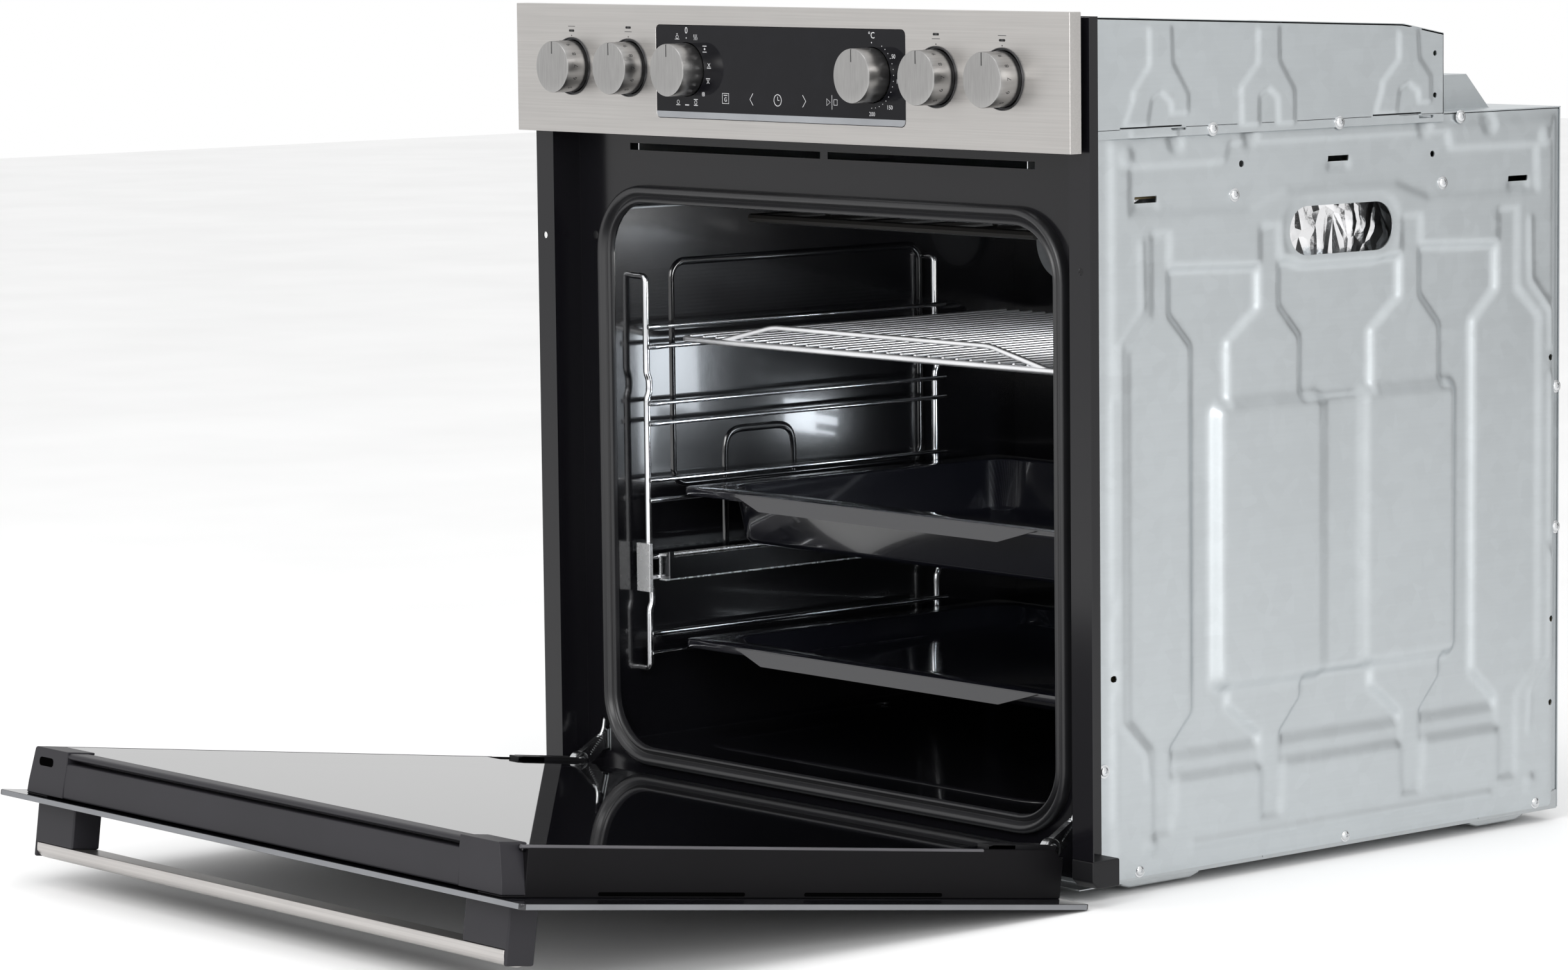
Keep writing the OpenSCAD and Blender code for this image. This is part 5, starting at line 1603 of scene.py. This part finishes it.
@dataclass
class Furniture:
    """Racks, shelf, trays and telescopic runners."""

    wire: float = 1.75
    upright: float = 2.5
    front: float = 45.0
    back: float = 332.0
    first: float = 108.0
    pitch: float = 57.25
    gap: float = 15.0
    kinks: Flat = (150.0, 308.0)

    def level(self, number: int) -> float:
        """Height of a rack level's lower wire."""
        return self.first + self.pitch * (number - 1)

    def build_rack(self, side: Side) -> None:
        """Builds one rack: kinked uprights hooked into the wall and five pairs of level wires."""
        node = "rack_" + side.name.lower()
        low, high = box_mm(node)
        sign = side.value
        inner = min(abs(low.x), abs(high.x)) + self.wire
        post = inner + self.wire + self.upright - 0.6
        wall = max(abs(low.x), abs(high.x))
        shape = Shape()
        stud = [(0.0, -1.6), (1.75, -1.2), (1.95, 2), (2.08, 6), (2.0, 10), (1.85, 14), (1.76, 17), (1.7, 18)]
        for y in (self.front, self.back):
            path: list[Point] = [(wall, y, low.z + 2.5), (post, y, low.z + 2.5)]
            for z in self.kinks:
                kink = (post - 0.2, y + 2.2)
                path += [(post, y, z - 9), (*kink, z - 5), (*kink, z + 5), (post, y, z + 9)]
            path += [(post, y, high.z - 2.5), (wall, y, high.z - 2.5)]
            shape.tube(rounded(path, 4.0, 4), self.upright, 14)
        for number in range(1, 6):
            for z in (self.level(number), self.level(number) + self.gap):
                shape.tube([(inner, self.front - 1, z), (inner, self.back + 8, z)], self.wire, 12)
                shape.lathe(stud, (inner, self.front, z), 1, 14)
        shape.points = [(sign * x, y, z) for x, y, z in shape.points]
        if sign < 0:
            shape.faces = [tuple(reversed(f)) for f in shape.faces]
        piece(node + ".wires", shape, Look.CHROME, Body.HOUSING, [node], angle=50)

    def build_shelf(self) -> None:
        """Builds the shelf: frame, cross wires with turned ends and the raised front rail."""
        low, high = box_mm("wire_shelf")
        half = high.x - 2.5
        front, back = low.y + 2.5, high.y - 2.5
        z = 341.75
        shape = Shape()
        loop = [(x, y, z) for x, y in corners((-half, front), (half, back), 9, 5)]
        shape.tube(loop, 2.5, 12, True)
        shape.tube([(-half, (front + back) / 2, z - 0.6), (half, (front + back) / 2, z - 0.6)], 2.4, 12)
        rail = [(x, front + 0.5, z + up) for x, up in ((-177, 0.6), (-117, 14), (117, 14), (177, 0.6))]
        shape.tube(rounded(rail, 7.0, 6), 2.0, 12)
        # The shelf's pale plating is a painted highlight.
        piece("wire_shelf.frame", shape, Look.SHELF, Body.SHELF, ["wire_shelf"], angle=50)
        wire = Shape().tube(rounded([(0, front + 2, -2.2), (0, front + 1.6, 2.6), (0, back - 1, 2.6)], 1.4,
                                    4), 1.5, 10)
        wire.points = [(x, y - front, c) for x, y, c in wire.points]
        count = 30
        step = 2 * (half - 10) / (count - 1)
        places = [(-half + 10 + i * step, front, z) for i in range(count)]
        wires = Scatter("Shelf wires", Look.SHELF).over("wires", wire, places)
        piece("wire_shelf.wires", wires, Look.SHELF, Body.SHELF, angle=50)

    def build_tray(self, node: str, body: Body) -> None:
        """Builds a pressed tray with a turned rim, drafted walls and a folded front lip."""
        low, high = box_mm(node)
        half, front, back, top = high.x, low.y + 1.2, high.y, high.z
        depth = top - low.z

        def ring(inset: float, z: float, radius: float = 8.0) -> list[Point]:
            """Ring parallel to the rim's outer edge."""
            return [(x, y, z) for x,
                    y in corners((-half + inset, front + inset), (half - inset, back - inset), radius, 8)]

        def pan(inset: float, z: float, radius: float = 26.0) -> list[Point]:
            """Ring parallel to the pan's opening."""
            return [(x, y, z) for x,
                    y in corners((-half + 24 + inset, front + 22 + inset),
                                 (half - 24 - inset, back - 14 - inset),
                                                  radius - inset * 0.4, 8)]

        t = 1.2
        rings = [pan(11, low.z), pan(6.5, low.z + 1.6), pan(5.2 - t, low.z + 5), pan(-t, top - t - 0.4),
                 ring(t, top - t), ring(t, top - 5.6, 7), ring(0.5, top - 6.0), ring(0.0, top - 5.4),
                 ring(0.0, top - 1.3), ring(0.4, top - 0.4), ring(1.3, top), pan(-2.0, top),
                 pan(-0.6, top - 0.5), pan(0.2, top - 1.6), pan(5.2, low.z + 6), pan(7.6, low.z + t + 1.4),
                 pan(12, low.z + t)]
        shape = Shape().loft(rings[: 16 if depth < 12 else 17], caps=True)
        lip = [(-164, top - 0.8), (-129, top - 11), (129, top - 11), (164, top - 0.8)]
        tilt = [0.0, -4.5, -4.5, 0.0]
        shape.loft([[(x, front - t + shift + out, z) for (x, z), shift in zip(lip, tilt)] for out in (
            0.0, t)], caps=True)
        piece(node + ".pressed", shape, Look.TRAY, body, [node], bevel=0.0, angle=40)

    def build(self) -> None:
        """Builds everything that hangs in the chamber."""
        for side in Side:
            self.build_rack(side)
        self.build_shelf()
        self.build_tray("deep_tray", Body.DEEP)
        self.build_tray("shallow_tray", Body.SHALLOW)
        refined("runner_rails", Look.CLIP, 0.4)
        # The runner slides wear the darkened plating: painted shade.
        dress("runner_slide_left", Look.SLIDE)
        dress("runner_slide_right", Look.SLIDE)


@dataclass
class Door:
    """Drop-down door: outer panel, frame, trim, panes, handle and hinges, drawn closed and then hung open."""

    panel_back: float = -17.0
    inner: float = 16.0
    bottom: float = 10.0
    top: float = 488.0
    half: float = 270.0
    pivot: Flat = (-2.1, 10.65)
    hinge: float = 257.0
    open_by: float = 82.5

    def hang(self, shape: Shape) -> Shape:
        """Turns a shape drawn on the closed door to the open one."""
        y, z = self.pivot
        swing = Matrix.Rotation(math.radians(self.open_by), 4, "X")
        return shape.turned(Matrix.Translation((0, y, z)) @ swing @ Matrix.Translation((0, -y, -z)))

    def build_edges(self) -> None:
        """Adds the ground edge of the outer panel and the moulded rim strips along the door's sides."""
        edge = Shape()
        for sign in (-1, 1):
            x = sign * 297.5
            near, far = sorted((x, x + 0.15 * sign))
            edge.block((near, self.panel_back - 3.7, self.bottom + 3), (far, self.panel_back - 0.3, 490))
        edge.block((-294, self.panel_back - 3.7, 492.9), (294, self.panel_back - 0.3, 493.1))
        piece("door_panel.edge", self.hang(edge), Look.EDGE, Body.DOOR, angle=30)
        rim = Shape()
        for sign in (-1, 1):
            x = sign * self.half
            path = [(x - sign * 0.9, self.inner - 1.0, 86), (x - sign * 0.9, self.inner - 1.0, 476)]
            rim.tube(path, 1.2, 12)
        piece("door_frame.rims", self.hang(rim), Look.RIM, Body.DOOR, angle=50)

    def build_trim(self) -> None:
        """Adds the corner caps, the rounded bar between them, and black patches of painted shade for the slots
        of the door's edges and the latch hole.
        """
        low, high = self.inner - 31.5, self.inner
        section = [(low, 470.5), (high - 0.4, 470.5), (high, 472), (high, 485.6), (high - 0.8, 487.4),
                   (high - 2.2, self.top), (high - 3.6, 487.4), (high - 4.4, 485), (high - 4.8, 477),
                   (high - 6.8, 477), (high - 7.0, 486.6), (high - 8.0, self.top), (low + 1.0, self.top),
                   (low, self.top - 1)]
        trim = Shape().prism(section, 0, -225, 225)
        for sign in (-1, 1):
            cap = [(225.5, low), (self.half, low), (self.half - 1.0, low + 8), (self.half - 6.5, high - 0.2),
                   (self.half - 8, high + 0.9), (223, high + 0.9), (223, high - 12), (224.6, high - 22)]
            outline = [(sign * x, y) for x, y in cap]
            if sign < 0:
                outline = outline[::-1]
            trim.prism(outline, 2, 466, self.top + 0.3)
        piece("door_trim.moulding", self.hang(trim), Look.TRIM, Body.DOOR, ["door_trim"], bevel=0.7, angle=30)
        # The slots and the latch hole are not cut: thin black patches with no gloss paint their shade.
        slots = Shape()
        for sign in (-1, 1):
            x = sign * self.half
            for z0, z1 in ((291, 411.7), (120, 240.6)):
                outline = oval((self.panel_back + 1.2, z0), (self.panel_back + 3.8, z1))
                slots.prism(outline, 0, *sorted((x - sign * 0.5, x + sign * 0.12)))
        latch = corners((-257, self.inner - 11.6), (-240, self.inner - 5.6), 2.4, 5)
        slots.prism(latch, 2, self.top - 0.2, self.top + 0.42)
        piece("door_trim.slots", self.hang(slots), Look.HOLE, Body.DOOR, angle=50)

    def build_hinges(self) -> None:
        """Builds the hinge covers on the door, and the knuckle, spring and hook on the housing's arms."""
        covers = Shape()
        cheek = [(self.inner - 6, 15), (self.inner + 1.5, 12), (self.inner + 2.6, 20), (self.inner + 2.6, 70),
                 (self.inner + 1.0, 75), (self.inner - 4, 75)]
        for sign in (-1, 1):
            x = sign * self.hinge
            for a, b in ((-5.5, -3.2), (3.2, 5.5)):
                covers.prism(cheek, 0, x + a, x + b)
            covers.block((x - 5.5, self.inner - 4, 50), (x + 5.5, self.inner + 2.4, 75))
        piece("hinge_bodies.covers", self.hang(covers), Look.CARRIER, Body.DOOR, bevel=0.8, angle=30)
        refined("hinge_bodies", Look.HINGE, 0.4)
        refined("hinge_arms", Look.HINGE, 0.8)
        refined("hinge_receivers", Look.BASE, 0.3)
        y, z = self.pivot[0], self.pivot[1] + 17
        extra = Shape()
        knuckle = [(0, -4.4), (3.6, -4.2), (4.4, -3.2), (6.9, -3.1), (7.8, -2.4), (7.8, 2.4), (6.9, 3.1),
                   (4.4, 3.2), (3.6, 4.2), (0, 4.4)]
        side = Vector((1, 0, 0))
        turns, steps = 9, 14
        for sign in (-1, 1):
            x = sign * self.hinge
            extra.lathe(knuckle, (x, y, z), 0, 28)
            start, end = Vector((x, 7.0, 33.0)), Vector((x, 19.0, 45.0))
            third = (end - start).normalized().cross(side)
            coil = []
            for i in range(turns * steps + 1):
                angle = 2 * math.pi * i / steps
                out = (side * math.cos(angle) + third * math.sin(angle)) * 2.2
                coil.append(tuple(start.lerp(end, i / (turns * steps)) + out))
            extra.tube(coil, 0.65, 8)
            extra.tube(rounded([(x, 17, 43), (x, 21.5, 50), (x, 22.8, 57.5)], 3, 4), 1.4, 10)
        piece("hinge_arms.springs", extra, Look.HINGE, Body.HOUSING, angle=45)

    def build(self) -> None:
        """Builds the door."""
        refined("door_panel", Look.PANEL, 0.7)
        refined("door_frame", Look.RAIL, 0.8)
        refined("door_inner_glass", Look.CLEAR, 0.35)
        refined("door_middle_glass", Look.CLEAR, 0.35)
        refined("handle_posts", Look.TRIM, 1.4)
        refined("handle_bar", Look.BAR, 0.5)
        self.build_edges()
        self.build_trim()
        self.build_hinges()


@dataclass
class Studio:
    """Camera, lamps, backdrop and floor."""

    azimuth: float = 49.73
    elevation: float = 6.34
    roll: float = -0.65
    distance: float = 3856.0
    target: Point = (2.1, -18.0, 256.9)
    lens: float = 125.71
    chamber_lamps: tuple[tuple[str, Point, Flat, float], ...] = (
        ("Chamber box low", (0.115, 0.408, 0.255), (0.12, 0.17), 0.85),
        ("Chamber box rear", (-0.035, 0.408, 0.222), (0.07, 0.06), 0.25),
        ("Chamber box top", (-0.02, 0.405, 0.318), (0.12, 0.02), 0.012),
    )
    flags: tuple[tuple[Point, Flat], ...] = (((1.5, 3.0, 0.9), (1.4, 2.6)),)

    def add_flag(self, place: Point, size: Flat) -> None:
        """Stands a black panel beside the set, facing the oven, to shape the sheet metal's reflections."""
        half, tall = size[0] / 2, size[1] / 2
        mesh = bpy.data.meshes.new("Flag")
        spots = [(-half, 0, -tall), (half, 0, -tall), (half, 0, tall), (-half, 0, tall)]
        mesh.from_pydata(spots, [], [(0, 1, 2, 3)])
        flag = bpy.data.objects.new("Flag", mesh)
        flag.location = place
        flag.rotation_euler = (0, 0, math.atan2(place[1], place[0]) - math.pi / 2)
        bpy.context.scene.collection.objects.link(flag)
        paint = Paint("Flag cloth")
        share = paint.noise(200.0).over(0.3, 0.7)
        paint.surface(Base_Color=paint.blend(share, (0.01, 0.01, 0.01), (0.02, 0.02, 0.02)), Roughness=0.9)
        mesh.materials.append(paint.material)
        flag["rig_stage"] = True

    def back(self) -> Vector:
        """Direction from the target to the camera."""
        a, e = math.radians(self.azimuth), math.radians(self.elevation)
        return Vector((math.sin(a) * math.cos(e), -math.cos(a) * math.cos(e), math.sin(e)))

    def set_camera(self) -> None:
        """Places the camera."""
        back = self.back()
        right = (-back).cross(Vector((0, 0, 1))).normalized()
        up = right.cross(-back)
        c, s = math.cos(math.radians(self.roll)), math.sin(math.radians(self.roll))
        x_axis, y_axis = right * c + up * s, up * c - right * s
        data = bpy.data.cameras.new("Camera")
        data.lens, data.sensor_width = self.lens, 36.0
        data.clip_start, data.clip_end = 0.05, 50.0
        camera = bpy.data.objects.new("Camera", data)
        turn = Matrix((x_axis, y_axis, back)).transposed().to_4x4()
        camera.matrix_world = Matrix.Translation((Vector(self.target) + back * self.distance) * MM) @ turn
        bpy.context.scene.collection.objects.link(camera)
        bpy.context.scene.camera = camera

    def add_lamp(
        self, name: str, place: Point, aim: Point, size: Flat, power: float, colour: Colour = (1, 1, 1)
    ) -> None:
        """Adds a soft box.

        Args:
            name: its name.
            place: where it stands, in metres.
            aim: what it looks at, in metres.
            size: its width and height, in metres.
            power: its power in watts.
            colour: its colour.
        """
        data = bpy.data.lights.new(name, "AREA")
        data.shape, data.size, data.size_y = "RECTANGLE", size[0], size[1]
        data.energy, data.color = power, colour
        lamp = bpy.data.objects.new(name, data)
        lamp.location = place
        lamp.rotation_euler = (Vector(aim) - Vector(place)).to_track_quat("-Z", "Y").to_euler()
        bpy.context.scene.collection.objects.link(lamp)
        lamp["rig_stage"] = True

    def set_world(self) -> None:
        """Gives the world an even white."""
        world = bpy.data.worlds.new("Backdrop")
        world.use_nodes = True
        ground = world.node_tree.nodes["Background"]
        ground.inputs["Color"].default_value = (1.0, 1.0, 1.0, 1.0)
        ground.inputs["Strength"].default_value = 1.0
        bpy.context.scene.world = world
        bpy.context.scene.view_settings.view_transform = "Standard"

    def lay_floor(self) -> None:
        """Lays a wide pale floor just under the oven."""
        half = 9.0
        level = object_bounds()[0][2] - 0.0005
        mesh = bpy.data.meshes.new("Floor")
        spots = [(-half, -half, level), (half, -half, level), (half, half, level), (-half, half, level)]
        mesh.from_pydata(spots, [], [(0, 1, 2, 3)])
        floor = bpy.data.objects.new("Floor", mesh)
        bpy.context.scene.collection.objects.link(floor)
        paint = Paint("Floor paint")
        share = paint.noise(3.0, 2.0).over(0.3, 0.7)
        paint.surface(Base_Color=paint.blend(share, (0.86, 0.86, 0.86), (0.9, 0.9, 0.9)), Roughness=0.7)
        floor.data.materials.append(paint.material)
        floor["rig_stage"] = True

    def build(self) -> None:
        """Sets up the whole studio."""
        self.set_camera()
        self.set_world()
        self.lay_floor()
        self.add_lamp("Front box", (1.0, -3.4, 1.5), (0, 0, 0.3), (1.8, 2.0), 30)
        self.add_lamp("Side box", (3.2, -1.4, 1.5), (0.2, 0.2, 0.3), (1.0, 1.8), 46)
        self.add_lamp("Mouth box", (0.7, -1.5, 1.0), (-0.05, 0.15, 0.2), (0.5, 0.5), 5)
        self.add_lamp("Top box", (0.2, -0.6, 3.0), (0, 0, 0.2), (2.4, 2.0), 22)
        self.add_lamp("Shelf box", (0.228, 0.33, 0.39), (-0.2, 0.1, 0.335), (0.16, 0.05), 0.5)
        for name, place, size, power in self.chamber_lamps:
            self.add_lamp(name, place, (place[0] - 0.25, place[1] - 0.3, place[2]), size, power,
                          (0.86, 0.93, 1.0))
        for place, size in self.flags:
            self.add_flag(place, size)


def main() -> None:
    """Builds every assembly, then the studio."""
    for assembly in (Housing(), FrontFrame(), ControlPanel(), Chamber(), Furniture(), Door()):
        LOG.info("building %s", type(assembly).__name__)
        assembly.build()
    Studio().build()


if __name__ == "__main__":
    main()
